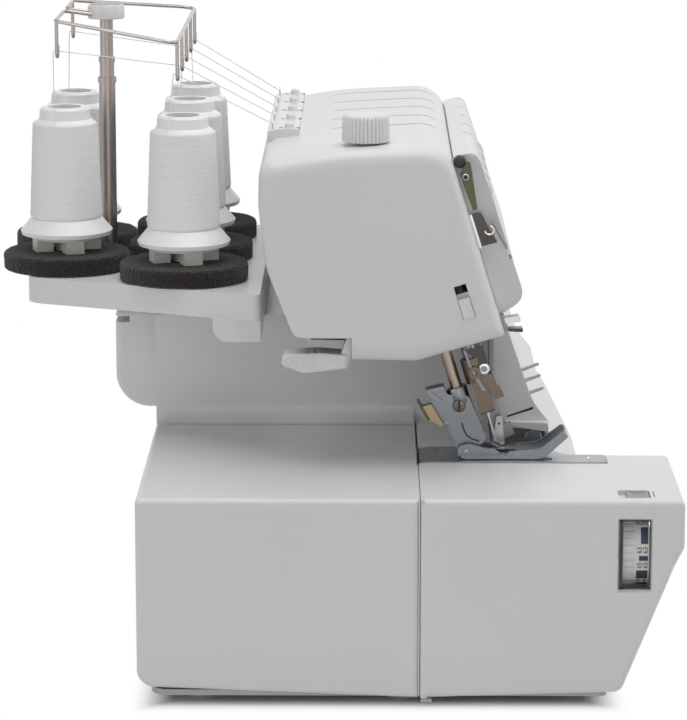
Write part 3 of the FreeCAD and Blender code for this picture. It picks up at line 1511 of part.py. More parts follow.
def on_frame(x, y):
    """A place on the wire guide's tilted plane."""
    share = (y - guide_front_y) / (guide_rear_y - guide_front_y)
    return vec(x, y, guide_front_z + (guide_rear_z - guide_front_z) * share)


def hook_places():
    """The top of each hook: five along the front bar, then one at each rear corner."""
    first, last = guide_front_x
    pitch = (last - first - 2 * hook_inset) / 4
    front = [on_frame(first + hook_inset + pitch * index, guide_front_y) for index in range(5)]
    near, far = guide_rear_x
    return front + [on_frame(near + hook_inset, guide_rear_y), on_frame(far - hook_inset, guide_rear_y)]


def wire_frame():
    """The guide's frame, bent from one wire whose two ends go back into the cap, and its hooks."""
    near_end, far_end = pole_x - cap_wire_spread, pole_x + cap_wire_spread
    frame = bent_tube([
        on_frame(near_end, pole_y), on_frame(near_end, guide_rear_y),
        on_frame(guide_rear_x[0], guide_rear_y), on_frame(guide_front_x[0], guide_front_y),
        on_frame(guide_front_x[1], guide_front_y), on_frame(guide_rear_x[1], guide_rear_y),
        on_frame(far_end, guide_rear_y), on_frame(far_end, pole_y)], wire_radius, frame_bend_radius)
    hooks = []
    for top in hook_places():
        bottom = top - vec(0, 0, hook_drop)
        hooks.append(bent_tube([
            top, bottom, bottom + vec(hook_width, 0, 0), bottom + vec(hook_width, 0, hook_lip)],
            wire_radius, hook_bend_radius))
    return frame.fuse(hooks)


def antenna_guide():
    """The wire thread guide."""
    return wire_frame()


thread_radius = 0.25
thread_bend_radius = 6 * thread_radius
thread_gap = 0.3
thread_lift = 2.0
guide_mouth = (6.0, 276.4)


def thread_start(x, y, toward):
    """Where a thread leaves its cone, on the side that faces its first hook."""
    height = winding_top - 0.5
    reach = cone_top_radius + thread_radius + thread_gap
    side = vec(toward.x - x, toward.y - y, 0).normalize()
    return vec(x, y, height) + side * reach


def thread_routes():
    """Each thread's places: the cone, the hooks it passes and the pretension guide it enters."""
    hooks = hook_places()
    routes = []
    for cone, by_way in ((0, [0]), (3, [5, 1]), (1, [2]), (4, [6, 3]), (2, [4])):
        x, y = spool_places[cone]
        over = [hooks[hook] + vec(hook_width / 2, 0, thread_lift - hook_drop) for hook in by_way]
        over[0] = over[0] + vec(0, thread_lift + thread_radius, wire_radius + thread_gap)
        mouth = vec(dial_x[len(routes)], guide_y + guide_mouth[0], guide_mouth[1])
        routes.append([thread_start(x, y, over[0])] + over + [mouth])
    return routes


def threads():
    """The five threads, pulled straight from cone to hook to guide."""
    tubes = []
    for route in thread_routes():
        tube = bent_tube(route, thread_radius, thread_bend_radius)
        length = bent_path(route, thread_bend_radius).Length
        share = tube.Volume / (math.pi * thread_radius ** 2 * length)
        print(
            "thread length", round(length, 1), "bend radius", thread_bend_radius, "volume share",
            round(share, 3))
        tubes.append(tube)
    return Part.makeCompound(tubes)


# Origin under the middle of the box
origin_x = wheel_right / 2
origin_y = (cover_front + spool_rear_y + pad_radius) / 2


def export(name, shape):
    """Moves a piece to the part's origin and writes it."""
    placed = shape.copy()
    placed.translate(vec(-origin_x, -origin_y, 0))
    placed.exportStep("parts/" + name + ".step")


def pieces():
    """Every piece by name."""
    named = {
        "base_pan": base_pan(), "rubber_feet": rubber_feet(), "hinge_pins": hinge_pins(),
        "bed_cover": bed_cover(),
        "column_cover": column_cover(), "end_cover": end_cover(), "motor_cover": motor_cover(),
        "head_cover": head_cover(), "take_up_guard": take_up_guard(), "front_panel": front_panel(),
        "lower_front_panel": lower_front_panel(), "spool_tray": spool_tray(), "chassis": chassis(),
        "shaft_bushes": shaft_bushes(), "motor": motor(), "drive_belt": drive_belt(),
        "needle_plate": needle_plate(),
        "cover_screws": cover_screws(), "lower_knife": lower_knife(), "thread_guides": thread_guides(),
        "spool_pins": spool_pins(), "foam_pads": foam_pads(), "cone_holders": cone_holders(),
        "thread_cones": thread_cones(), "thread_windings": thread_windings(),
        "antenna_tube": antenna_tube(),
        "power_inlet": power_inlet(), "threads": threads(),
        "cloth_plate_cover": cloth_plate_cover(), "cover_latch": cover_latch(), "width_dial": width_dial(),
        "looper_cover": looper_cover(), "handwheel": handwheel(), "main_shaft": main_shaft(),
        "shaft_pulley": shaft_pulley(), "motor_pulley": motor_pulley(), "needle_bar": needle_bar(),
        "needle_clamp": needle_clamp(), "needles": needle_solids(), "take_up_lever": take_up_lever(),
        "upper_knife": upper_knife(), "upper_looper": upper_looper(), "lower_looper": lower_looper(),
        "feed_dogs": feed_dogs(), "presser_bar": presser_bar(), "presser_shank": presser_shank(),
        "presser_foot": presser_foot(), "presser_lever": presser_lever(), "pressure_knob": pressure_knob(),
        "selector_slider": selector_slider(), "stitch_length_dial": stitch_length_dial(),
        "power_switch": power_switch(),
        "antenna_middle": antenna_middle(), "antenna_top": antenna_top(), "antenna_guide": antenna_guide(),
    }
    for index, x in enumerate(dial_x):
        named["tension_dial_" + str(index + 1)] = tension_dial(x)
    return named


os.makedirs("parts", exist_ok=True)
for piece_name, piece_shape in pieces().items():
    export(piece_name, piece_shape)
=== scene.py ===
"""The looks of a household overlock sewing machine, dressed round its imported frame. Units are metres."""

import math

import bmesh
import bpy
from mathutils import Matrix, Vector, noise


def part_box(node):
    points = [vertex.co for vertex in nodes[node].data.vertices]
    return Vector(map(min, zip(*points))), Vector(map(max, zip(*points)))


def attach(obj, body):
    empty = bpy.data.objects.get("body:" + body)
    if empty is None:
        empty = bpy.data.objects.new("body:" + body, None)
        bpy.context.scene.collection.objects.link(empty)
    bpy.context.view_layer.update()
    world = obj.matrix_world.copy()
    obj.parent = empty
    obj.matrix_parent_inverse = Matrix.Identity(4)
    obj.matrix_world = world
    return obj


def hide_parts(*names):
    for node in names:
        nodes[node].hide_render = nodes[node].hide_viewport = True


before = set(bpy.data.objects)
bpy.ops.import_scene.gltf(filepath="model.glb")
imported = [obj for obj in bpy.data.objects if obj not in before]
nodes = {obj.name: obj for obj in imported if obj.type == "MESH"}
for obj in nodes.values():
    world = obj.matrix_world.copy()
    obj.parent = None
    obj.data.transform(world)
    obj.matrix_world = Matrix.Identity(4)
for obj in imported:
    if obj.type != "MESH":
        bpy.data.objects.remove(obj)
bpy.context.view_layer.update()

# The bench: the bed's left face, the seam between bed and cloth plate, and the table
MM = 0.001
SEAM_HALF = 0.4 * MM
bed_low, bed_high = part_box("bed_cover")
bench_x = bed_low.x
bench_y = bed_low.y - SEAM_HALF


def bench(x, y, z):
    """A place given in millimetres from the bench."""
    return Vector((bench_x + x * MM, bench_y + y * MM, z * MM))


# Materials

NOISE_LOW = 0.3
NOISE_HIGH = 0.7
FLOW_WAVES = 11.0
LINE_WAVES = 700.0
CLOUD_WAVES = 45.0
CELL_WAVES = 900.0
SPECK_WAVES = 1300.0
FIBRE_WAVES = 2600.0
NO_LINES = (1.0, 1.0, 1.0)


def new_material(name):
    """A material, its node tree and its shader."""
    material = bpy.data.materials.new(name)
    material.use_nodes = True
    tree = material.node_tree
    return material, tree, tree.nodes["Principled BSDF"]


def object_noise(tree, waves, detail=2.0, stretch=NO_LINES):
    """Noise with so many waves in each metre of the object's own space."""
    place = tree.nodes.new("ShaderNodeTexCoord")
    mapping = tree.nodes.new("ShaderNodeMapping")
    mapping.inputs["Scale"].default_value = stretch
    texture = tree.nodes.new("ShaderNodeTexNoise")
    texture.inputs["Scale"].default_value = waves
    texture.inputs["Detail"].default_value = detail
    tree.links.new(place.outputs["Object"], mapping.inputs["Vector"])
    tree.links.new(mapping.outputs["Vector"], texture.inputs["Vector"])
    return texture.outputs["Fac"]


def spread(tree, value, low, high):
    """Maps a noise value to a range."""
    mapper = tree.nodes.new("ShaderNodeMapRange")
    mapper.inputs["From Min"].default_value = NOISE_LOW
    mapper.inputs["From Max"].default_value = NOISE_HIGH
    mapper.inputs["To Min"].default_value = low
    mapper.inputs["To Max"].default_value = high
    tree.links.new(value, mapper.inputs["Value"])
    return mapper.outputs["Result"]


def colour_between(tree, value, low, high):
    """Mixes two colours by a noise value."""
    ramp = tree.nodes.new("ShaderNodeValToRGB")
    ramp.color_ramp.elements[0].position = NOISE_LOW
    ramp.color_ramp.elements[0].color = (*low, 1.0)
    ramp.color_ramp.elements[1].position = NOISE_HIGH
    ramp.color_ramp.elements[1].color = (*high, 1.0)
    tree.links.new(value, ramp.inputs["Fac"])
    return ramp.outputs["Color"]


def shade(colour, share):
    """A colour made darker or lighter by a share."""
    return tuple(min(1.0, channel * share) for channel in colour)


def add_bump(tree, shader, height, distance, strength):
    """Gives a shader a bumped surface."""
    bump = tree.nodes.new("ShaderNodeBump")
    bump.inputs["Distance"].default_value = distance
    bump.inputs["Strength"].default_value = strength
    tree.links.new(height, bump.inputs["Height"])
    tree.links.new(bump.outputs["Normal"], shader.inputs["Normal"])


def moulded_plastic(name, colour, roughness, grain=1500.0, depth=0.02 * MM):
    """Moulded plastic with a fine spark-eroded grain and faint flow marks."""
    material, tree, shader = new_material(name)
    flow = object_noise(tree, FLOW_WAVES, 3.0)
    tint = colour_between(tree, flow, shade(colour, 0.985), shade(colour, 1.01))
    tree.links.new(tint, shader.inputs["Base Color"])
    tree.links.new(spread(tree, flow, roughness - 0.04, roughness + 0.05), shader.inputs["Roughness"])
    add_bump(tree, shader, object_noise(tree, grain), depth, 0.35)
    return material


def worked_metal(name, colour, roughness, stretch=(1.0, 40.0, 1.0), depth=0.012 * MM):
    """Metal with uneven polish and fine lines, which run across the stretched axis."""
    material, tree, shader = new_material(name)
    shader.inputs["Metallic"].default_value = 1.0
    lines = object_noise(tree, LINE_WAVES, 3.0, stretch)
    cloud = object_noise(tree, CLOUD_WAVES, 3.0)
    tint = colour_between(tree, cloud, shade(colour, 0.9), shade(colour, 1.06))
    tree.links.new(tint, shader.inputs["Base Color"])
    tree.links.new(spread(tree, lines, roughness - 0.06, roughness + 0.08), shader.inputs["Roughness"])
    add_bump(tree, shader, lines, depth, 0.3)
    return material


def foam_material(name):
    """Dark open-cell foam: pits of many sizes and lighter skeleton ends."""
    material, tree, shader = new_material(name)
    place = tree.nodes.new("ShaderNodeTexCoord")
    cells = tree.nodes.new("ShaderNodeTexVoronoi")
    cells.inputs["Scale"].default_value = CELL_WAVES
    tree.links.new(place.outputs["Object"], cells.inputs["Vector"])
    specks = object_noise(tree, SPECK_WAVES)
    tint = colour_between(tree, specks, (0.009, 0.0065, 0.0068), (0.05, 0.04, 0.0405))
    tree.links.new(tint, shader.inputs["Base Color"])
    shader.inputs["Roughness"].default_value = 0.95
    shader.inputs["Specular IOR Level"].default_value = 0.2
    shader.inputs["Sheen Weight"].default_value = 0.25
    add_bump(tree, shader, cells.outputs["Distance"], 0.9 * MM, 0.9)
    return material


def thread_material(name, colour):
    """Spun thread: matt, with a soft sheen and fine fibres."""
    material, tree, shader = new_material(name)
    fibres = object_noise(tree, FIBRE_WAVES, 3.0, (1.0, 1.0, 4.0))
    tint = colour_between(tree, fibres, shade(colour, 0.95), shade(colour, 1.03))
    tree.links.new(tint, shader.inputs["Base Color"])
    shader.inputs["Roughness"].default_value = 0.8
    shader.inputs["Sheen Weight"].default_value = 0.3
    add_bump(tree, shader, fibres, 0.06 * MM, 0.5)
    return material


white_plastic = moulded_plastic("white_plastic", (0.76, 0.765, 0.765), 0.36)
trim_plastic = moulded_plastic("trim_plastic", (0.78, 0.78, 0.775), 0.3)
grey_plastic = moulded_plastic("grey_plastic", (0.5, 0.505, 0.51), 0.42)
latch_plastic = moulded_plastic("latch_plastic", (0.3, 0.305, 0.31), 0.4)
drum_plastic = moulded_plastic("drum_plastic", (0.72, 0.72, 0.7), 0.45)
# Dark plastic: the real black of the power switch, the inlet and the take-up stop, and also painted shadow
# in the gap round the width drum.
dark_plastic = moulded_plastic("dark_plastic", (0.03, 0.03, 0.032), 0.5)
pan_plastic = moulded_plastic("pan_plastic", (0.5, 0.5, 0.49), 0.55)
holder_plastic = moulded_plastic("holder_plastic", (0.78, 0.76, 0.71), 0.42)
cone_plastic = moulded_plastic("cone_plastic", (0.92, 0.92, 0.93), 0.34)
foot_rubber = moulded_plastic("foot_rubber", (0.62, 0.62, 0.6), 0.75, 900.0, 0.05 * MM)
belt_rubber = moulded_plastic("belt_rubber", (0.03, 0.03, 0.03), 0.8, 700.0, 0.06 * MM)
foam = foam_material("foam")
thread = thread_material("thread", (0.93, 0.925, 0.92))
bright_steel = worked_metal("bright_steel", (0.4, 0.405, 0.415), 0.26)
plate_steel = worked_metal("plate_steel", (0.36, 0.37, 0.385), 0.3, (40.0, 1.0, 1.0))
# Dark steel: the real colour of the knives, feed dogs and dark guides, and also painted shade in the shank's
# eye and the clamp screw's socket.
dark_steel_and_painted_shade = worked_metal("dark_steel_and_painted_shade", (0.24, 0.24, 0.25), 0.38)
wire_chrome = worked_metal("wire_chrome", (0.36, 0.33, 0.31), 0.2, NO_LINES)
guide_chrome = worked_metal("guide_chrome", (0.6, 0.61, 0.63), 0.16, NO_LINES)
pole_metal = worked_metal("pole_metal", (0.33, 0.29, 0.265), 0.36, (30.0, 30.0, 1.0))
olive_plate = worked_metal("olive_plate", (0.085, 0.085, 0.05), 0.3, NO_LINES)
cast_metal = worked_metal("cast_metal", (0.5, 0.5, 0.5), 0.5, NO_LINES, 0.05 * MM)
bronze = worked_metal("bronze", (0.34, 0.265, 0.17), 0.35, NO_LINES)
motor_paint = moulded_plastic("motor_paint", (0.09, 0.09, 0.095), 0.45)
smoked_chrome = worked_metal("smoked_chrome", (0.07, 0.064, 0.058), 0.2, NO_LINES)
smoked_bronze = worked_metal("smoked_bronze", (0.15, 0.122, 0.1), 0.34, NO_LINES)
bar_bronze = worked_metal("bar_bronze", (0.34, 0.275, 0.22), 0.3, (30.0, 30.0, 1.0))
foot_steel = worked_metal("foot_steel", (0.24, 0.255, 0.28), 0.28, (12.0, 1.0, 12.0), 0.003 * MM)
shank_steel = worked_metal("shank_steel", (0.21, 0.22, 0.235), 0.34, (12.0, 1.0, 12.0))
# Ink: real print on the drum's scale, and also painted shade in slits, a screw slot, a socket and a groove.
ink_and_painted_shade = moulded_plastic("ink_and_painted_shade", (0.02, 0.022, 0.03), 0.6)
blue_ink = moulded_plastic("blue_ink", (0.02, 0.03, 0.07), 0.55)

tension_dials = [f"tension_dial_{number}" for number in range(1, 6)]
finishes = [
    (white_plastic, [
        "take_up_guard", "bed_cover", "column_cover", "end_cover", "motor_cover", "head_cover",
        "front_panel", "lower_front_panel", "spool_tray", "cloth_plate_cover", "looper_cover", "handwheel"]),
    (trim_plastic, ["pressure_knob", "presser_lever", "selector_slider"]),
    (grey_plastic, ["stitch_length_dial"] + tension_dials),
    (latch_plastic, ["cover_latch"]),
    (drum_plastic, ["width_dial"]),
    (dark_plastic, ["power_switch", "power_inlet"]),
    (pan_plastic, ["base_pan"]),
    (holder_plastic, ["cone_holders"]),
    (cone_plastic, ["thread_cones"]),
    (foot_rubber, ["rubber_feet"]),
    (belt_rubber, ["drive_belt"]),
    (bright_steel, [
        "needles", "hinge_pins", "cover_screws", "main_shaft", "spool_pins", "upper_looper",
        "lower_looper"]),
    (shank_steel, ["needle_bar", "presser_shank"]),
    (smoked_bronze, ["needle_clamp"]),
    (bar_bronze, ["presser_bar"]),
    (foot_steel, ["presser_foot"]),
    (plate_steel, ["needle_plate"]),
    (dark_steel_and_painted_shade, ["upper_knife", "lower_knife", "feed_dogs"]),
    (wire_chrome, ["antenna_guide"]),
    (guide_chrome, ["thread_guides"]),
    (pole_metal, ["antenna_tube", "antenna_middle", "antenna_top"]),
    (olive_plate, ["take_up_lever"]),
    (cast_metal, ["chassis", "shaft_pulley", "motor_pulley"]),
    (bronze, ["shaft_bushes"]),
    (motor_paint, ["motor"]),
]


def dress(node, material):
    """Gives a CAD node its finish."""
    mesh = nodes[node].data
    mesh.materials.clear()
    mesh.materials.append(material)


for finish_material, finish_nodes in finishes:
    for finish_node in finish_nodes:
        dress(finish_node, finish_material)


# Pieces

SHARP_ANGLE = math.radians(38.0)


def piece_from(name, maker, material, body):
    """A new mesh piece made by maker(bmesh), riding on a body."""
    mesh = bpy.data.meshes.new(name)
    work = bmesh.new()
    maker(work)
    bmesh.ops.recalc_face_normals(work, faces=work.faces)
    work.to_mesh(mesh)
    work.free()
    for polygon in mesh.polygons:
        polygon.use_smooth = True
    mesh.set_sharp_from_angle(angle=SHARP_ANGLE)
    mesh.materials.append(material)
    piece = bpy.data.objects.new(name, mesh)
    bpy.context.scene.collection.objects.link(piece)
    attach(piece, body)
    return piece


def skin_rings(work, rings, closed_ends=True):
    """Joins rings of places with faces, all round."""
    made = [[work.verts.new(place) for place in ring] for ring in rings]
    count = len(made[0])
    for lower, upper in zip(made, made[1:]):
        for index in range(count):
            following = (index + 1) % count
            work.faces.new((lower[index], lower[following], upper[following], upper[index]))
    if closed_ends:
        work.faces.new(list(reversed(made[0])))
        work.faces.new(made[-1])


# Spools: three along the front row, two behind, in the gaps
SPOOL_PITCH = 70.0
SPOOL_FIRST_X = 146.0
SPOOL_FRONT_Y = 125.0
SPOOL_REAR_Y = 191.0
spool_places = [(SPOOL_FIRST_X + SPOOL_PITCH * column, SPOOL_FRONT_Y) for column in range(3)]
spool_places += [(SPOOL_FIRST_X + SPOOL_PITCH * (column + 0.5), SPOOL_REAR_Y) for column in range(2)]

pad_low, pad_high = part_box("foam_pads")
PAD_RADIUS = 34.6
PAD_BOTTOM = pad_low.z / MM
PAD_TOP = pad_high.z / MM
PAD_HOLE = 5.4
PAD_SIDES = 144
PAD_STEP = 1.1
PAD_EDGE = 1.2
FINE_PIT_WAVES = 0.9
FINE_PIT_DEPTH = 0.22
BROAD_PIT_WAVES = 0.12
BROAD_PIT_DEPTH = 0.25
PIT_REACH = 0.2
PIT_LIFT = 0.25
PIT_LIFT_SHARE = 0.6
WELD = 1e-6


def foam_pad(x, y):
    """A round pad cut from foam: pitted faces, soft edges and a hole for the pin."""
    middle = (PAD_BOTTOM + PAD_TOP) / 2
    outline = [(PAD_HOLE, PAD_BOTTOM + 0.3), (PAD_HOLE, middle), (PAD_HOLE, PAD_TOP - PAD_EDGE)]
    outline += [(PAD_HOLE + 1.0, PAD_TOP - 0.5)]
    outline += [(PAD_HOLE + 1.0 + PAD_STEP * step, PAD_TOP - 0.3) for step in range(1, 24)]
    outline += [(PAD_RADIUS - 1.6, PAD_TOP - 0.4), (PAD_RADIUS - 0.6, PAD_TOP - PAD_EDGE)]
    outline += [(PAD_RADIUS - 0.2, PAD_TOP - PAD_EDGE - PAD_STEP * step) for step in range(1, 8)]
    outline += [(PAD_RADIUS - 0.9, PAD_BOTTOM + 0.4), (PAD_RADIUS - 2.0, PAD_BOTTOM)]

    def make(work):
        rings = []
        for radius, height in outline:
            ring = []
            for side in range(PAD_SIDES):
                angle = 2 * math.pi * side / PAD_SIDES
                place = Vector((x + radius * math.cos(angle), y + radius * math.sin(angle), height))
                fine = noise.noise(place * FINE_PIT_WAVES) * FINE_PIT_DEPTH
                broad = noise.noise(place * BROAD_PIT_WAVES) * BROAD_PIT_DEPTH
                pit = fine + broad
                reach = radius + min(PIT_REACH, pit)
                lift = min(PIT_LIFT, PIT_LIFT_SHARE * pit) if height > middle else 0.0
                ring.append(bench(x + reach * math.cos(angle), y + reach * math.sin(angle), height + lift))
            rings.append(ring)
        skin_rings(work, rings + [rings[0]], closed_ends=False)
        bmesh.ops.remove_doubles(work, verts=work.verts, dist=WELD)

    return make


for number, (pad_x, pad_y) in enumerate(spool_places, start=1):
    pad = piece_from(f"foam_pad_{number}", foam_pad(pad_x, pad_y), foam, "root")
    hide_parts("foam_pads")


# The wound thread on each cone: crossing layers over a tapered core
WINDING_BOTTOM = 222.4
WINDING_TOP = 274.4
WINDING_FOOT_RADIUS = 19.7
WINDING_TOP_RADIUS = 17.5
CORE_FOOT_RADIUS = 18.5
CORE_TOP_RADIUS = 16.3
WINDING_SIDES = 160
WINDING_ROWS = 150
LAYER_TURNS = 9.0
FINE_TURNS = 74.0
LAYER_HEIGHT = 0.1
FINE_HEIGHT = 0.05
LAYER_SLANT = 2
LAYER_SHARPNESS = 24
WANDER = 0.35
RISING_SHIFT = 0.31
FALLING_SHIFT = 0.17
SHOULDER_SHARE = 0.03
SHOULDER_DROP = 1.1


def ridge(turns):
    """A rounded ridge once in each turn."""
    return abs(math.sin(math.pi * turns))


def wound_body(x, y, seed):
    """Thread wound up and down a cone, so that the layers cross."""
    def surface(share, angle):
        base = WINDING_FOOT_RADIUS + (WINDING_TOP_RADIUS - WINDING_FOOT_RADIUS) * share
        turn = angle / (2 * math.pi)
        wander = WANDER * noise.noise(Vector((3 * math.cos(angle), 3 * math.sin(angle), 9 * share + seed)))
        rising = ridge(LAYER_TURNS * share + LAYER_SLANT * turn + wander + RISING_SHIFT * seed)
        falling = ridge(LAYER_TURNS * share - LAYER_SLANT * turn - wander + FALLING_SHIFT * seed)
        fine = ridge(FINE_TURNS * share + turn)
        layers = LAYER_HEIGHT * max(rising, falling) ** LAYER_SHARPNESS
        radius = base + layers + FINE_HEIGHT * (fine - 1.0)
        shoulder = min(1.0, share / SHOULDER_SHARE, (1 - share) / SHOULDER_SHARE)
        return radius - SHOULDER_DROP * (1 - math.sqrt(max(0.0, 1 - (1 - shoulder) ** 2)))

    def ring_at(share, radius_at):
        height = WINDING_BOTTOM + (WINDING_TOP - WINDING_BOTTOM) * share
        ring = []
        for side in range(WINDING_SIDES):
            angle = 2 * math.pi * side / WINDING_SIDES
            radius = radius_at(share, angle)
            ring.append(bench(x + radius * math.cos(angle), y + radius * math.sin(angle), height))
        return ring

    def core(share, angle):
        return CORE_FOOT_RADIUS + (CORE_TOP_RADIUS - CORE_FOOT_RADIUS) * share

    def make(work):
        rings = [ring_at(row / (WINDING_ROWS - 1), surface) for row in range(WINDING_ROWS)]
        rings += [ring_at(share, core) for share in (1.0, 0.0)]
        skin_rings(work, rings + [rings[0]], closed_ends=False)
        bmesh.ops.remove_doubles(work, verts=work.verts, dist=WELD)

    return make


for number, (cone_x, cone_y) in enumerate(spool_places, start=1):
    winding = piece_from(f"winding_{number}", wound_body(cone_x, cone_y, number), thread, "root")
    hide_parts("thread_windings")


# Threads, from each cone over its hooks to the pretension guides
THREAD_DIAMETER = 0.5
thread_routes = [
    [(131.0, 132.5, 274.0), (137.5, 129.2, 305.8), (158.0, 78.0, 276.4)],
    [(164.8, 195.2, 274.0), (164.5, 195.2, 314.8), (182.0, 127.0, 304.5), (194.5, 78.0, 276.4)],
    [(231.5, 131.3, 274.0), (226.5, 129.2, 305.8), (231.0, 78.0, 276.4)],
    [(266.9, 196.4, 274.0), (263.5, 195.2, 314.8), (271.0, 127.0, 304.5), (267.5, 78.0, 276.4)],
    [(302.6, 127.4, 274.0), (315.5, 129.2, 305.8), (304.0, 78.0, 276.4)],
]
HOOK_REACH = 6 * THREAD_DIAMETER


def near_hooks(route):
    """A taut route's places, with one on each side of every hook, about six diameters off."""
    places = [Vector(place) for place in route]
    full = [places[0]]
    for last, hook, following in zip(places, places[1:], places[2:]):
        full.append(hook + (last - hook).normalized() * HOOK_REACH)
        full.append(hook)
        full.append(hook + (following - hook).normalized() * HOOK_REACH)
    full.append(places[-1])
    return full


def taut_thread(name, route):
    """A thread pulled straight between its hooks, as one smooth spline."""
    places = [bench(*place) for place in near_hooks(route)]
    curve = bpy.data.curves.new(name, "CURVE")
    curve.dimensions = "3D"
    curve.bevel_depth = THREAD_DIAMETER / 2 * MM
    curve.bevel_resolution = 3
    spline = curve.splines.new("NURBS")
    spline.points.add(len(places) - 1)
    for point, place in zip(spline.points, places):
        point.co = (*place, 1.0)
    spline.order_u = 3
    spline.use_endpoint_u = True
    spline.resolution_u = 8
    curve.materials.append(thread)
    piece = bpy.data.objects.new(name, curve)
    bpy.context.scene.collection.objects.link(piece)
    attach(piece, "root")
    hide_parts("threads")


for number, route in enumerate(thread_routes, start=1):
    taut_thread(f"thread_{number}", route)


# Makers for the small pieces

LEAN = math.radians(17.0)
FRONT_HEIGHT = 103.0
FRONT_TOP_Y = -14.4
FRONT_TOP_Z = 277.0
FRONT_FOOT_Y = FRONT_TOP_Y - FRONT_HEIGHT * math.sin(LEAN)
FRONT_FOOT_Z = FRONT_TOP_Z - FRONT_HEIGHT * math.cos(LEAN)
X_WAY = Vector((1, 0, 0))
Z_WAY = Vector((0, 0, 1))
ALONG_WAY = Vector((0, math.sin(LEAN), math.cos(LEAN)))
OUT_WAY = Vector((0, -math.cos(LEAN), math.sin(LEAN)))
CORNER_SHARE = 0.45


def on_front(x, along, out):
    """A place on the head's leaning front: along it from its foot, and out from it."""
    y = FRONT_FOOT_Y + along * math.sin(LEAN) - out * math.cos(LEAN)
    z = FRONT_FOOT_Z + along * math.cos(LEAN) + out * math.sin(LEAN)
    return bench(x, y, z)


def rounded(corners, steps=5):
    """An outline whose corners (a, b, radius) are turned into arcs."""
    outline = []
    for index, (a, b, radius) in enumerate(corners):
        here = Vector((a, b))
        before = Vector(corners[index - 1][:2]) - here
        after = Vector(corners[(index + 1) % len(corners)][:2]) - here
        reach = min(radius, CORNER_SHARE * before.length, CORNER_SHARE * after.length)
        if reach == 0:
            outline.append((a, b))
            continue
        start = here + before.normalized() * reach
        end = here + after.normalized() * reach
        for step in range(steps + 1):
            share = step / steps
            outline.append(tuple(
                (1 - share) ** 2 * start + 2 * share * (1 - share) * here + share ** 2 * end))
    return outline


def slab(corners, x0, x1, place=bench, soften=0.2):
    """A flat piece of one outline, drawn out from x0 to x1, with softened rims."""
    outline = rounded(corners)

    def make(work):
        skin_rings(work, [[place(x, a, b) for a, b in outline] for x in (x0, x1)])
        if soften == 0:
            return
        work.faces.ensure_lookup_table()
        rims = {edge for face in work.faces[-2:] for edge in face.edges}
        bmesh.ops.bevel(
            work, geom=list(rims), offset=soften * MM, segments=2, affect="EDGES", clamp_overlap=True)

    return make


def turned(origin, axis, profile, sides=48, ribs=0, rib_depth=0.0):
    """A round piece: (along, radius) pairs turned about an axis, with grooves between its ribs, if any."""
    forward = Vector(axis).normalized()
    across = forward.orthogonal().normalized()
    other = forward.cross(across)

    def make(work):
        rings = []
        for along, radius in profile:
            ring = []
            for side in range(sides):
                angle = 2 * math.pi * side / sides
                groove = rib_depth * (1 - abs(math.sin(0.5 * ribs * angle))) ** 2 if ribs else 0.0
                arm = across * math.cos(angle) + other * math.sin(angle)
                ring.append(origin + forward * along * MM + arm * (radius - groove) * MM)
            rings.append(ring)
        skin_rings(work, rings)

    return make


def tube(places, radius, sides=14):
    """A bent wire through places."""
    def make(work):
        rings = []
        side_way = (places[1] - places[0]).orthogonal().normalized()
        for index, place in enumerate(places):
            ahead = places[min(index + 1, len(places) - 1)]
            behind = places[max(index - 1, 0)]
            forward = (ahead - behind).normalized()
            side_way = (side_way - forward * side_way.dot(forward)).normalized()
            other = forward.cross(side_way)
            ring = []
            for side in range(sides):
                angle = 2 * math.pi * side / sides
                arm = side_way * math.cos(angle) + other * math.sin(angle)
                ring.append(place + arm * radius * MM)
            rings.append(ring)
        skin_rings(work, rings)

    return make


def loop_places(centre, across, upward, radius, start, sweep, steps=24):
    """Places on an arc round a centre."""
    places = []
    for step in range(steps + 1):
        angle = math.radians(start + sweep * step / steps)
        places.append(centre + (across * math.cos(angle) + upward * math.sin(angle)) * radius * MM)
    return places


def carve(piece, cutters):
    """Cuts closed shapes, given by their makers, out of a piece."""
    for cutter in cutters:
        mesh = bpy.data.meshes.new("cutter")
        work = bmesh.new()
        cutter(work)
        bmesh.ops.recalc_face_normals(work, faces=work.faces)
        work.to_mesh(mesh)
        work.free()
        tool = bpy.data.objects.new("cutter", mesh)
        bpy.context.scene.collection.objects.link(tool)
        cut = piece.modifiers.new("cut", "BOOLEAN")
        cut.object = tool
        cut.solver = "EXACT"
        graph = bpy.context.evaluated_depsgraph_get()
        carved = bpy.data.meshes.new_from_object(piece.evaluated_get(graph))
        piece.modifiers.clear()
        piece.data = carved
        bpy.data.objects.remove(tool)
        bpy.data.meshes.remove(mesh)
    piece.data.set_sharp_from_angle(angle=SHARP_ANGLE)


def block(x0, x1, a0, a1, b0, b1, place=bench):
    """A plain box."""
    return slab([(a0, b0, 0), (a1, b0, 0), (a1, b1, 0), (a0, b1, 0)], x0, x1, place, 0)


def plate(name, material, body, corners, left, right, place=bench, soften=0.2):
    """A flat piece between two places across the machine, riding on a body."""
    return piece_from(name, slab(corners, left, right, place, soften), material, body)


def spun(name, material, body, origin, axis, profile, sides=48, ribs=0, rib_depth=0.0):
    """A turned piece, riding on a body."""
    return piece_from(name, turned(origin, axis, profile, sides, ribs, rib_depth), material, body)


def wire(name, material, body, places, radius):
    """A bent wire piece, riding on a body."""
    return piece_from(name, tube(places, radius), material, body)


# The head's leaning front: its guard, its tension panel, and what shows beside them

PANEL_RIGHT = 325.0
GUIDE_FIRST_X = 158.0
GUIDE_PITCH = 36.5
GUIDE_COUNT = 5
dial_places = [GUIDE_FIRST_X + GUIDE_PITCH * column for column in range(GUIDE_COUNT)]


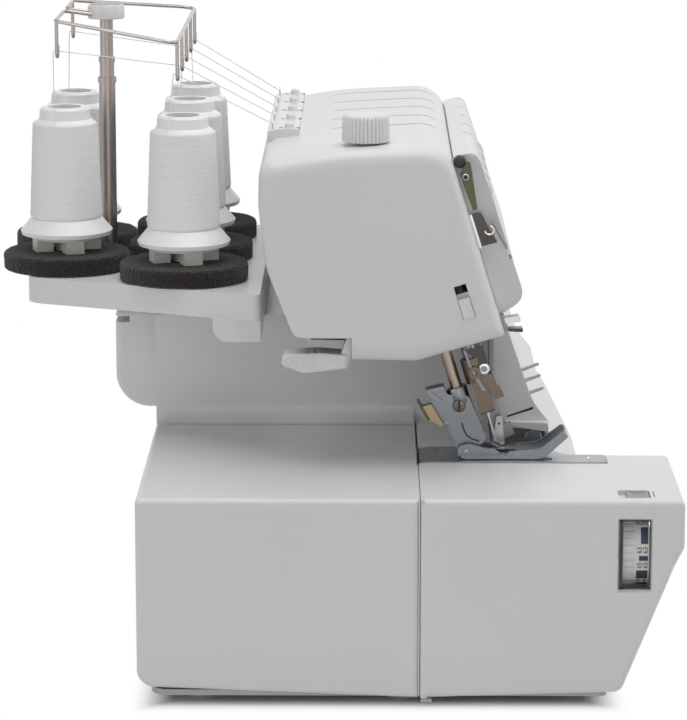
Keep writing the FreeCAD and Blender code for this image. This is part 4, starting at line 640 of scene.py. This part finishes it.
def take_up_guard():
    """The guard beside the take-up lever."""
    corners = [(8.6, 0.2, 1.0), (94.6, 0.2, 1.5), (94.2, 13.2, 6.0), (12.8, 15.4, 7.0)]
    left = 81.1
    right = 83.7
    guard = plate("take_up_guard_plate", white_plastic, "root", corners, left, right, on_front, 0.7)
    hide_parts("take_up_guard")


def tension_panel():
    """The leaning tension panel, with a slot for each dial and a channel for each thread."""
    corners = [(9.6, 0.3, 1.0), (93.2, 0.3, 1.0), (92.8, 12.3, 6.0), (13.8, 14.4, 7.0)]
    left = 84.0
    behind = -1.0
    beyond = 20.0
    slot_half = 4.0
    slot_low = 47.0
    slot_high = 77.0
    channel_offset = 13.0
    channel_end = 15.0
    channel_top = 110.0
    channel_floor = 8.0
    panel = plate("tension_panel", white_plastic, "root", corners, left, PANEL_RIGHT, on_front, 0.8)
    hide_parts("front_panel")
    carve(panel, [
        block(x - slot_half, x + slot_half, slot_low, slot_high, behind, beyond, on_front)
        for x in dial_places])
    carve(panel, [
        block(x + channel_offset, x + channel_end, 0.0, channel_top, channel_floor, beyond, on_front)
        for x in dial_places])


def take_up_lever():
    """The take-up lever, its screw, and the rubber stop and stud behind it."""
    corners = [(66.4, 2.7, 0.5), (86.6, 1.5, 1.0), (92.4, 7.4, 1.0), (90.4, 8.5, 1.2), (66.9, 5.2, 0.6)]
    left = 71.2
    right = 72.6
    screw_place = on_front(70.3, 84.4, 4.0)
    screw_profile = [(0.0, 1.0), (-0.1, 1.3), (0.1, 1.7), (0.5, 1.9), (1.0, 1.9)]
    socket_profile = [(-0.25, 0.9), (-0.25, 1.05), (0.3, 1.05)]
    stop_place = on_front(74.4, 92.0, 3.4)
    stop_profile = [(0.0, 2.3), (0.2, 2.8), (0.7, 3.1), (6.4, 3.1)]
    stud_place = on_front(73.0, 80.0, 4.0)
    stud_profile = [(0.0, 1.7), (8.0, 1.7)]
    lever = plate("take_up_plate", olive_plate, "take_up_lever", corners, left, right, on_front, 0.25)
    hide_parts("take_up_lever")
    spun("take_up_screw", bright_steel, "take_up_lever", screw_place, X_WAY, screw_profile)
    # A dark ring on the screw's face: painted shade for its socket.
    spun("take_up_socket_shade", ink_and_painted_shade, "take_up_lever", screw_place, X_WAY, socket_profile, 24)
    stop = spun("take_up_stop", dark_plastic, "root", stop_place, X_WAY, stop_profile)
    stud = spun("take_up_stud", bright_steel, "root", stud_place, X_WAY, stud_profile, 32)
    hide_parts("thread_guides")
    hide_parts("thread_guides")


def thread_bracket():
    """The bracket below the lever: a folded plate with a flap, a curl and a sleeved wire tail."""
    left = 75.0
    right = 76.0
    corners = [(46.9, 0.2, 0), (64.6, 0.2, 0), (64.4, 6.2, 1.6), (56.8, 7.5, 1.0), (46.6, 10.0, 0.6)]
    fold_left = 72.6
    fold_right = 75.1
    fold = [(46.6, 0.2, 0), (64.7, 0.2, 0.3), (64.6, 1.5, 0.3), (46.5, 1.7, 0)]
    flap_left = 75.3
    flap_right = 75.9
    flap = [(56.2, 8.6, 0.6), (56.0, 10.8, 0.6), (47.6, 13.0, 0.5), (46.8, 10.4, 0.3)]
    curl = loop_places(on_front(74.4, 54.0, 7.8), ALONG_WAY, OUT_WAY, 2.3, 30.0, 250.0)
    wire_x = 74.8
    tail = [(57.0, 10.4), (55.5, 11.2), (50.0, 12.3), (43.0, 13.7), (36.4, 14.5)]
    sleeve = [(42.2, 13.85), (39.0, 14.3)]
    bracket = plate("thread_bracket", smoked_chrome, "root", corners, left, right, on_front)
    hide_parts("thread_guides")
    plate("thread_bracket_fold", guide_chrome, "root", fold, fold_left, fold_right, on_front, 0.15)
    plate("thread_bracket_flap", pole_metal, "root", flap, flap_left, flap_right, on_front, 0.12)
    wire("thread_bracket_curl", guide_chrome, "root", curl, 0.6)
    wire("thread_bracket_tail", dark_steel_and_painted_shade, "root", [on_front(wire_x, *place) for place in tail], 0.65)
    wire("thread_bracket_sleeve", trim_plastic, "root", [on_front(wire_x, *place) for place in sleeve], 1.0)


def low_guide():
    """The lower thread guide: a dark strip with two turned-out tabs."""
    strip = [(0.6, 0.3, 0), (9.7, 0.3, 0.4), (9.5, 2.4, 0.4), (0.8, 2.6, 0.3)]
    strip_left = 74.0
    strip_right = 79.5
    upper_tab = [(8.0, 2.0, 0.3), (5.0, 2.0, 0.3), (3.6, 9.8, 0.8), (6.8, 10.2, 0.8)]
    under_tab = [(2.2, 2.2, 0.3), (0.6, 2.2, 0.3), (-2.0, 9.2, 0.5), (0.0, 9.8, 0.5)]
    tab_left = 72.5
    tab_right = 79.0
    low_strip = plate("low_guide_strip", dark_steel_and_painted_shade, "root", strip, strip_left, strip_right, on_front, 0.15)
    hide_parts("thread_guides")
    plate("low_guide_upper_tab", guide_chrome, "root", upper_tab, tab_left, tab_right, on_front, 0.3)
    plate("low_guide_under_tab", smoked_chrome, "root", under_tab, tab_left, tab_right, on_front, 0.3)


take_up_guard()
tension_panel()
take_up_lever()
thread_bracket()
low_guide()


def pretension_guides():
    """The strip on the head's rear edge: five studs between slits, each with its eyelet."""
    left = 151.8
    right = 311.0
    foot = 268.0
    top = 274.1
    corners = [(63.2, foot, 0), (63.2, top, 0.8), (75.4, top, 2.0), (80.2, 272.6, 0.6), (80.2, foot, 0)]
    stud_y = 68.5
    stud_profile = [(0.0, 3.4), (0.7, 3.4), (0.8, 2.5), (2.4, 2.5), (3.0, 2.1), (3.3, 1.2)]
    slit_offset = 4.6
    slit_profile = [(0.0, 1.1), (0.58, 1.1)]
    eyelet_y = 77.4
    eyelet_z = 276.2
    eyelet_foot = 271.5
    strip = plate("pretension_strip", trim_plastic, "root", corners, left, right, bench, 0.4)
    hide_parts("thread_guides")
    for number, x in enumerate(dial_places, start=1):
        stud_place = bench(x, stud_y, top - 0.4)
        spun(f"pretension_stud_{number}", trim_plastic, "root", stud_place, Z_WAY, stud_profile, 40)
        # Each slit is a dark disc: painted shade for the opening beside the stud.
        for side, way in (("front", -1), ("rear", 1)):
            slit_place = bench(x, stud_y + slit_offset * way, top - 0.5)
            spun(f"pretension_slit_shade_{number}_{side}", ink_and_painted_shade, "root", slit_place, Z_WAY, slit_profile, 24)
        ring = loop_places(bench(x, eyelet_y, eyelet_z), X_WAY, Z_WAY, 1.5, -75.0, 330.0)
        stem = bench(x + 0.4, eyelet_y, eyelet_foot)
        wire(f"pretension_eyelet_{number}", guide_chrome, "root", [stem] + ring, 0.4)


pretension_guides()


# The sewing area: presser shank and needle clamp

def presser_shank():
    """The shank's flat plate and collar, with its hinge pin, slotted screw, eye and groove."""
    left = 91.0
    right = 99.0
    corners = [
        (-3.9, 144.6, 0.8), (-13.5, 147.0, 0.6), (-15.3, 142.3, 0.6), (-26.6, 141.4, 1.2),
        (-36.6, 118.4, 2.5), (-29.0, 111.4, 1.0), (-22.4, 111.4, 1.0), (-19.7, 116.8, 2.0),
        (-11.8, 132.9, 3.0)]
    collar_drop = 29.0
    collar_place = bench(95.0, -14.5, 165.0) - ALONG_WAY * collar_drop * MM
    collar_profile = [(0.0, 4.9), (0.4, 5.2), (8.6, 5.2), (9.0, 4.9)]
    pin_place = bench(86.2, -25.5, 113.2)
    pin_profile = [(0.0, 1.1), (17.6, 1.1)]
    screw_place = bench(89.3, -21.7, 136.4)
    screw_profile = [(0.0, 2.6), (0.2, 3.1), (0.8, 3.4), (1.9, 3.4)]
    slot = [(-21.1, 133.4, 0), (-21.1, 139.4, 0), (-22.3, 139.4, 0), (-22.3, 133.4, 0)]
    slot_left = 89.2
    slot_right = 89.9
    eye_place = bench(90.8, -15.4, 126.5)
    eye_profile = [(0.0, 0.9), (0.15, 1.1), (0.4, 1.1)]
    groove_x = 90.9
    groove = [(-23.2, 127.0), (-24.2, 123.6), (-25.8, 120.6), (-28.6, 118.4), (-32.4, 117.4)]
    shank = plate("shank_plate", shank_steel, "presser_bar", corners, left, right, bench, 0.5)
    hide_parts("presser_shank")
    spun("shank_collar", shank_steel, "presser_bar", collar_place, ALONG_WAY, collar_profile)
    spun("shank_pin", bright_steel, "presser_bar", pin_place, X_WAY, pin_profile, 24)
    spun("shank_screw", smoked_bronze, "presser_bar", screw_place, X_WAY, screw_profile)
    # The slot, the eye and the groove are dark sheets, discs and wire: painted shade for these hollows.
    plate("shank_screw_slot_shade", ink_and_painted_shade, "presser_bar", slot, slot_left, slot_right, bench, 0.05)
    spun("shank_eye_shade", dark_steel_and_painted_shade, "presser_bar", eye_place, X_WAY, eye_profile, 24)
    wire("shank_groove_shade", ink_and_painted_shade, "presser_bar", [bench(groove_x, y, z) for y, z in groove], 0.4)


def foot_release():
    """The dark bracket on the shank's top, and the release lever's ramp and bar behind it."""
    bracket = [
        (-4.6, 144.9, 0.2), (-13.3, 146.9, 0.2), (-13.9, 145.4, 0.2), (-7.0, 143.7, 0.3),
        (-13.6, 138.6, 0.4), (-12.6, 138.0, 0.3), (-5.4, 142.3, 0.3)]
    bracket_left = 89.9
    bracket_right = 91.2
    ramp = [
        (-1.4, 135.2, 0.2), (-7.2, 136.8, 0.6), (-13.8, 125.6, 0.4), (-12.2, 125.0, 0.4),
        (-6.2, 128.6, 0.6)]
    ramp_left = 92.0
    ramp_right = 97.5
    bar = [(0.4, 138.2, 0.2), (-0.7, 138.6, 0.2), (-6.6, 128.6, 0.2), (-5.5, 128.1, 0.2)]
    bar_left = 90.5
    bar_right = 98.0
    plate("shank_top_bracket", dark_steel_and_painted_shade, "presser_bar", bracket, bracket_left, bracket_right, bench, 0.15)
    plate("release_ramp", bronze, "presser_bar", ramp, ramp_left, ramp_right, bench, 0.3)
    plate("release_bar", olive_plate, "presser_bar", bar, bar_left, bar_right)


def needle_clamp():
    """The clamp's cheek and edge, its bright screw, and a bronze block with a small bar."""
    cheek = [
        (-25.2, 166.0, 0.5), (-34.0, 168.6, 0.5), (-36.3, 160.2, 1.0), (-33.0, 150.0, 0.6),
        (-31.2, 159.6, 0.6)]
    cheek_left = 90.0
    cheek_right = 91.4
    edge = [
        (-23.4, 166.6, 0.2), (-25.0, 166.2, 0.2), (-28.8, 156.4, 1.0), (-36.0, 145.2, 0.4),
        (-33.8, 145.0, 0.4), (-27.4, 156.2, 1.0)]
    edge_left = 87.6
    edge_right = 89.2
    screw_place = bench(88.6, -34.6, 156.4)
    screw_profile = [(0.5, 1.3), (0.0, 1.6), (-0.1, 2.3), (0.2, 2.9), (1.2, 3.0)]
    socket_profile = [(0.2, 1.2), (0.2, 1.5), (0.9, 1.5)]
    hexagon = 6
    bronze_block = [(-33.4, 152.8, 0.6), (-39.0, 154.0, 0.6), (-45.4, 141.6, 0.4), (-40.4, 139.8, 0.4)]
    block_left = 90.0
    block_right = 97.0
    bar = [(-38.9, 155.8, 0.5), (-40.7, 155.4, 0.5), (-43.0, 148.0, 0.4), (-41.4, 147.6, 0.4)]
    bar_left = 89.4
    bar_right = 91.0
    plate("clamp_cheek", smoked_chrome, "needle_bar", cheek, cheek_left, cheek_right)
    plate("clamp_edge", shank_steel, "needle_bar", edge, edge_left, edge_right)
    spun("clamp_screw", guide_chrome, "needle_bar", screw_place, X_WAY, screw_profile)
    # A dark hexagon in the screw: painted shade for its socket.
    spun("clamp_socket_shade", dark_steel_and_painted_shade, "needle_bar", screw_place, X_WAY, socket_profile, hexagon)
    plate("clamp_block", smoked_bronze, "needle_bar", bronze_block, block_left, block_right, bench, 0.3)
    plate("clamp_bar", shank_steel, "needle_bar", bar, bar_left, bar_right)


presser_shank()
foot_release()
needle_clamp()


# The lower panel and the bed

PANEL_LEFT = 125.0


def lower_panel():
    """The lower front panel, with a recess at its left end."""
    corners = [
        (-40.4, 112.0, 0), (-40.4, 176.6, 0), (-45.6, 177.8, 2.0), (-62.2, 130.4, 22.0),
        (-70.6, 120.4, 2.0), (-70.2, 112.0, 1.0)]
    recess_left = PANEL_LEFT - 1.0
    recess_right = PANEL_LEFT + 30.0
    recess_front = -69.0
    recess_rear = -45.0
    recess_bottom = 110.0
    recess_top = 116.8
    panel = plate("lower_panel", white_plastic, "root", corners, PANEL_LEFT, PANEL_RIGHT, bench, 0.6)
    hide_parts("lower_front_panel")
    carve(panel, [
        block(recess_left, recess_right, recess_front, recess_rear, recess_bottom, recess_top)])


def looper_fingers():
    """Three thin fingers that stand out of the lower panel."""
    tips = [(-65.2, 150.9), (-66.2, 144.7), (-67.9, 137.7)]
    length = 12.0
    left = PANEL_LEFT + 4.0
    right = PANEL_LEFT + 6.6
    for number, (y, z) in enumerate(tips, start=1):
        root = y + length
        corners = [(root, z - 5.6, 0), (root, z - 3.6, 0), (y, z + 0.5, 0.5), (y - 0.2, z - 0.6, 0.5)]
        plate(f"looper_finger_{number}", grey_plastic, "root", corners, left, right)


def panel_end():
    """The panel's left end: one slanted slit, a shelf, and the roller under it."""
    slit = [(-48.2, 122.5, 0.2), (-48.3, 123.5, 0.2), (-62.2, 128.4, 0.3), (-62.3, 127.0, 0.3)]
    slit_left = PANEL_LEFT - 0.08
    end_right = PANEL_LEFT + 0.4
    shelf = [
        (-47.0, 119.4, 0.4), (-47.0, 121.2, 0.6), (-69.9, 120.8, 1.2), (-70.4, 116.8, 1.0),
        (-68.6, 116.2, 0.6)]
    shelf_left = PANEL_LEFT - 6.0
    roller_place = bench(PANEL_LEFT - 4.4, -62.4, 112.6)
    roller_profile = [(0.0, 4.2), (0.3, 4.5), (4.2, 4.5)]
    # A dark sheet on the panel's end: painted shade for the slit.
    plate("panel_slit_shade", ink_and_painted_shade, "root", slit, slit_left, end_right, bench, 0.03)
    plate("panel_shelf", white_plastic, "root", shelf, shelf_left, end_right, bench, 0.5)
    spun("panel_roller", shank_steel, "root", roller_place, X_WAY, roller_profile)


def bed_details():
    """The floor between needle plate and column, and the pale lips that close the bed's seam."""
    floor = block(118.0, 181.0, -40.0, -0.6, 106.6, 107.8)
    lip_front = -0.1
    lip_rear = 0.5
    lip = [(lip_front, 6.0, 0), (lip_front, 106.6, 0), (lip_rear, 106.6, 0), (lip_rear, 6.0, 0)]
    lip_left = 0.9
    lip_right = 4.0
    top_lip = block(lip_right, 79.0, lip_front, lip_rear, 103.0, 107.3)
    piece_from("bed_floor", floor, white_plastic, "root")
    plate("seam_lip", white_plastic, "root", lip, lip_left, lip_right, bench, 0.05)
    piece_from("seam_top_lip", top_lip, white_plastic, "root")


lower_panel()
looper_fingers()
panel_end()
bed_details()


# The cutting width drum's scale, in the cover's window

DRUM_X = 25.2
DRUM_Z = 79.75
DRUM_RADIUS = 24.06
PRINT_DEPTH = 0.3
FIGURE_SIZE = 3.4
FIGURE_THICKNESS = 0.05
SCALE_RIGHT = -114.6
scale_blocks = [
    (95.8, 97.3, -111.0), (85.1, 92.9, -111.0), (76.4, 79.0, -110.1), (66.3, 71.1, -108.9),
    (62.6, 63.7, -109.4)]
scale_numbers = [(74.0, "65"), (82.0, "63"), (94.5, "7"), (65.0, "4")]
number_columns = [("left", -111.4), ("right", -114.4)]


def on_drum(y, height, lift=0.0):
    """A place on the drum's left side at a height over the table."""
    angle = math.asin((height - DRUM_Z) / DRUM_RADIUS)
    reach = DRUM_RADIUS + lift
    return bench(DRUM_X - reach * math.cos(angle), y, DRUM_Z + reach * math.sin(angle))


def scale_block(low, high, left, steps=8):
    """A printed block that follows the drum's curve."""
    def make(work):
        rings = []
        for step in range(steps + 1):
            z = low + (high - low) * step / steps
            outer = [on_drum(left, z), on_drum(SCALE_RIGHT, z)]
            inner = [on_drum(SCALE_RIGHT, z, -PRINT_DEPTH), on_drum(left, z, -PRINT_DEPTH)]
            rings.append(outer + inner)
        skin_rings(work, rings)

    return make


def scale_number(words, middle, y):
    """Printed figures that stand on their side and follow the drum's curve."""
    def make(work):
        lettering = bpy.data.curves.new("figures", "FONT")
        lettering.body = words
        lettering.size = FIGURE_SIZE
        lettering.align_x = "CENTER"
        holder = bpy.data.objects.new("figures", lettering)
        bpy.context.scene.collection.objects.link(holder)
        graph = bpy.context.evaluated_depsgraph_get()
        flat = bpy.data.meshes.new_from_object(holder.evaluated_get(graph))
        work.from_mesh(flat)
        bpy.data.objects.remove(holder)
        bpy.data.meshes.remove(flat)
        for corner in work.verts:
            corner.co = on_drum(y + corner.co.y, middle + corner.co.x)
        bmesh.ops.solidify(work, geom=list(work.faces), thickness=FIGURE_THICKNESS * MM)

    return make


def drum_scale():
    """The drum's generic numbers between dark blocks."""
    for number, (low, high, left) in enumerate(scale_blocks, start=1):
        piece_from(f"scale_block_{number}", scale_block(low, high, left), blue_ink, "width_dial")
    for number, (middle, words) in enumerate(scale_numbers, start=1):
        for column, column_y in number_columns:
            figures = scale_number(words, middle, column_y)
            piece_from(f"scale_number_{number}_{column}", figures, ink_and_painted_shade, "width_dial")


def cover_window():
    """Dark strips painted as the shadow in the gap round the drum, and the printed mark beside the cover
    latch.
    """
    gap_left = 0.4
    gap_right = 0.9
    front = -115.8
    rear = -100.2
    gap_shadow_strips = [
        (-101.9, rear, 62.0, 97.5), (front, -115.2, 62.0, 97.5), (front, rear, 96.9, 97.6),
        (front, rear, 61.9, 62.9)]
    bed_top = bed_high.z / MM
    mark_low = bed_top - 0.2
    mark_high = bed_top + 0.06
    mark = [(-117.6, mark_low, 0), (-117.6, mark_high, 0), (-118.1, mark_high, 0), (-118.1, mark_low, 0)]
    mark_left = 7.0
    mark_right = 19.0
    # Dark strips in the window, just in front of the drum: painted shadow for the gap round it.
    for number, gap in enumerate(gap_shadow_strips, start=1):
        piece_from(f"window_gap_painted_shadow_{number}", block(gap_left, gap_right, *gap), dark_plastic, "cloth_cover")
    plate("latch_mark", blue_ink, "cloth_cover", mark, mark_left, mark_right, bench, 0.01)


drum_scale()
cover_window()


# Knobs, wheels and grips

def pressure_knob():
    """The pressure knob's ribbed grip and its stem."""
    grip_place = bench(90.0, 27.4, 276.3)
    grip_profile = [(0.0, 11.6), (0.3, 12.5), (12.2, 12.1), (13.2, 11.6), (13.9, 10.6), (14.1, 9.0)]
    grip_sides = 288
    grip_ribs = 36
    stem_place = bench(90.0, 27.4, 262.0)
    stem_profile = [(0.0, 4.9), (15.0, 4.9)]
    rib_depth = 0.9
    grip = spun(
        "knob_grip", trim_plastic, "pressure_knob", grip_place, Z_WAY, grip_profile, grip_sides, grip_ribs,
        rib_depth)
    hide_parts("pressure_knob")
    spun("knob_stem", grey_plastic, "pressure_knob", stem_place, Z_WAY, stem_profile)


def tension_wheels():
    """The tension dials' finely ribbed wheels and their axles."""
    along = 62.0
    out = 3.0
    wheel_left = 3.5
    wheel_profile = [(0.0, 9.8), (0.5, 11.2), (1.0, 11.6), (6.0, 11.6), (6.5, 11.2), (7.0, 9.8)]
    wheel_sides = 324
    wheel_ribs = 54
    rib_depth = 0.5
    axle_left = 7.6
    axle_profile = [(0.0, 1.9), (15.2, 1.9)]
    for number, (node, x) in enumerate(zip(tension_dials, dial_places), start=1):
        wheel = spun(
            f"tension_wheel_{number}", trim_plastic, node, on_front(x - wheel_left, along, out), X_WAY,
            wheel_profile, wheel_sides, wheel_ribs, rib_depth)
        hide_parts(node)
        axle_place = on_front(x - axle_left, along, out)
        spun(f"tension_axle_{number}", grey_plastic, node, axle_place, X_WAY, axle_profile, 24)


def antenna_cap():
    """The white cap on the antenna."""
    place = bench(216.0, 170.5, 326.9)
    profile = [(0.0, 9.0), (0.4, 10.1), (6.6, 10.1), (7.7, 9.4), (8.05, 8.0)]
    spun("antenna_cap", trim_plastic, "antenna_top", place, Z_WAY, profile)


def lever_ribs():
    """Ribs on the presser lever's finger grip."""
    count = 6
    first = 54.5
    pitch = 2.7
    width = 1.1
    low = 161.2
    high = 167.4
    left = 65.5
    right = 66.3
    for number in range(count):
        y = first + pitch * number
        corners = [(y, low, 0.3), (y, high, 0.3), (y + width, high, 0.3), (y + width, low, 0.3)]
        plate(f"lever_rib_{number + 1}", trim_plastic, "presser_lever", corners, left, right)


pressure_knob()
tension_wheels()
antenna_cap()
lever_ribs()


# Stage: floor, light and camera

FLOOR_SIZE = 30.0
FLOOR_COLOUR = (0.9, 0.9, 0.9, 1.0)
WHITE = (1.0, 1.0, 1.0, 1.0)
WORLD_LIGHT = 0.11
SHADOW_REACH = 0.012
MACHINE_MIDDLE = Vector((0.0, 0.0, 0.15))
CAMERA_PLACE = Vector((-1.7992, -0.0208, 0.5145))
CAMERA_LENS = 167.5
CAMERA_SENSOR = 36.0
foot_low, foot_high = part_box("base_pan")


def math_step(tree, operation, first, second):
    """Joins two values by an operation."""
    step = tree.nodes.new("ShaderNodeMath")
    step.operation = operation
    tree.links.new(first, step.inputs[0])
    tree.links.new(second, step.inputs[1])
    return step.outputs[0]


def vector_step(tree, operation, first, second=(0.0, 0.0, 0.0)):
    """Joins a vector and a fixed one by an operation."""
    step = tree.nodes.new("ShaderNodeVectorMath")
    step.operation = operation
    step.inputs[1].default_value = second
    tree.links.new(first, step.inputs[0])
    return step.outputs["Vector"]


def camera_white(tree):
    """1 where a ray comes from the camera, a mirror or glass."""
    path = tree.nodes.new("ShaderNodeLightPath")
    total = path.outputs["Is Camera Ray"]
    for other in ("Is Glossy Ray", "Is Transmission Ray"):
        total = math_step(tree, "MAXIMUM", total, path.outputs[other])
    return total


def outside_footprint(tree):
    """0 under the machine and 1 beyond it, with a soft step at the base pan's rim."""
    place = tree.nodes.new("ShaderNodeTexCoord")
    offset = vector_step(tree, "SUBTRACT", place.outputs["Object"], (foot_low + foot_high) / 2)
    distance = vector_step(tree, "ABSOLUTE", offset)
    beyond = vector_step(tree, "SUBTRACT", distance, (foot_high - foot_low) / 2)
    axes = tree.nodes.new("ShaderNodeSeparateXYZ")
    tree.links.new(beyond, axes.inputs["Vector"])
    farther = math_step(tree, "MAXIMUM", axes.outputs["X"], axes.outputs["Y"])
    step = tree.nodes.new("ShaderNodeMapRange")
    step.interpolation_type = "SMOOTHSTEP"
    step.inputs["From Min"].default_value = -SHADOW_REACH
    step.inputs["From Max"].default_value = SHADOW_REACH
    tree.links.new(farther, step.inputs["Value"])
    return step.outputs["Result"]


def white_floor():
    """A pale floor that shows white and keeps the soft shadow."""
    bpy.ops.mesh.primitive_plane_add(size=FLOOR_SIZE, location=(0, 0, 0))
    floor = bpy.context.object
    floor.name = "floor"
    material = bpy.data.materials.new("floor")
    material.use_nodes = True
    tree = material.node_tree
    tree.nodes.clear()
    output = tree.nodes.new("ShaderNodeOutputMaterial")
    matt = tree.nodes.new("ShaderNodeBsdfDiffuse")
    matt.inputs["Color"].default_value = FLOOR_COLOUR
    glow = tree.nodes.new("ShaderNodeEmission")
    glow.inputs["Strength"].default_value = 1.0
    mix = tree.nodes.new("ShaderNodeMixShader")
    white = math_step(tree, "MULTIPLY", camera_white(tree), outside_footprint(tree))
    tree.links.new(white, mix.inputs["Fac"])
    tree.links.new(matt.outputs[0], mix.inputs[1])
    tree.links.new(glow.outputs[0], mix.inputs[2])
    tree.links.new(mix.outputs[0], output.inputs["Surface"])
    floor.data.materials.append(material)


def white_world():
    """A white background for the camera and an even pale light for the rest."""
    world = bpy.data.worlds.new("studio")
    bpy.context.scene.world = world
    world.use_nodes = True
    tree = world.node_tree
    background = tree.nodes["Background"]
    background.inputs["Color"].default_value = WHITE
    strength = tree.nodes.new("ShaderNodeMapRange")
    strength.inputs["To Min"].default_value = WORLD_LIGHT
    strength.inputs["To Max"].default_value = 1.0
    tree.links.new(camera_white(tree), strength.inputs["Value"])
    tree.links.new(strength.outputs["Result"], background.inputs["Strength"])


def soft_lamp(name, place, size, power, colour):
    """A large square lamp that looks at the machine's middle."""
    lamp = bpy.data.lights.new(name, "AREA")
    lamp.size = size
    lamp.energy = power
    lamp.color = colour
    holder = bpy.data.objects.new(name, lamp)
    holder.location = place
    holder.rotation_euler = (MACHINE_MIDDLE - Vector(place)).to_track_quat("-Z", "Y").to_euler()
    bpy.context.scene.collection.objects.link(holder)


def photo_camera():
    """The photograph's camera, on the machine's left and a little above."""
    camera = bpy.data.cameras.new("camera")
    camera.sensor_width = CAMERA_SENSOR
    camera.lens = CAMERA_LENS
    camera.clip_start = 0.05
    holder = bpy.data.objects.new("camera", camera)
    right = Vector((0.00775, -0.99995, 0.0))
    up = Vector((0.2017, 0.00156, 0.97944))
    back = Vector((-0.9794, -0.00759, 0.20173))
    axes = Matrix((right, up, back)).transposed().to_4x4()
    holder.matrix_world = Matrix.Translation(CAMERA_PLACE) @ axes
    bpy.context.scene.collection.objects.link(holder)
    bpy.context.scene.camera = holder


white_floor()
white_world()
soft_lamp("overhead", (-0.1, -0.2, 1.7), 1.6, 20.0, (0.965, 0.985, 1.0))
soft_lamp("side", (-1.75, -0.3, 0.38), 1.0, 2.7, (1.0, 0.995, 0.95))
soft_lamp("rear", (-0.9, 1.3, 0.62), 0.8, 4.2, (1.0, 1.0, 0.975))
soft_lamp("front", (0.1, -1.9, 1.0), 1.4, 6.5, (1.0, 1.0, 1.0))
photo_camera()
bpy.context.scene.view_settings.view_transform = "Standard"
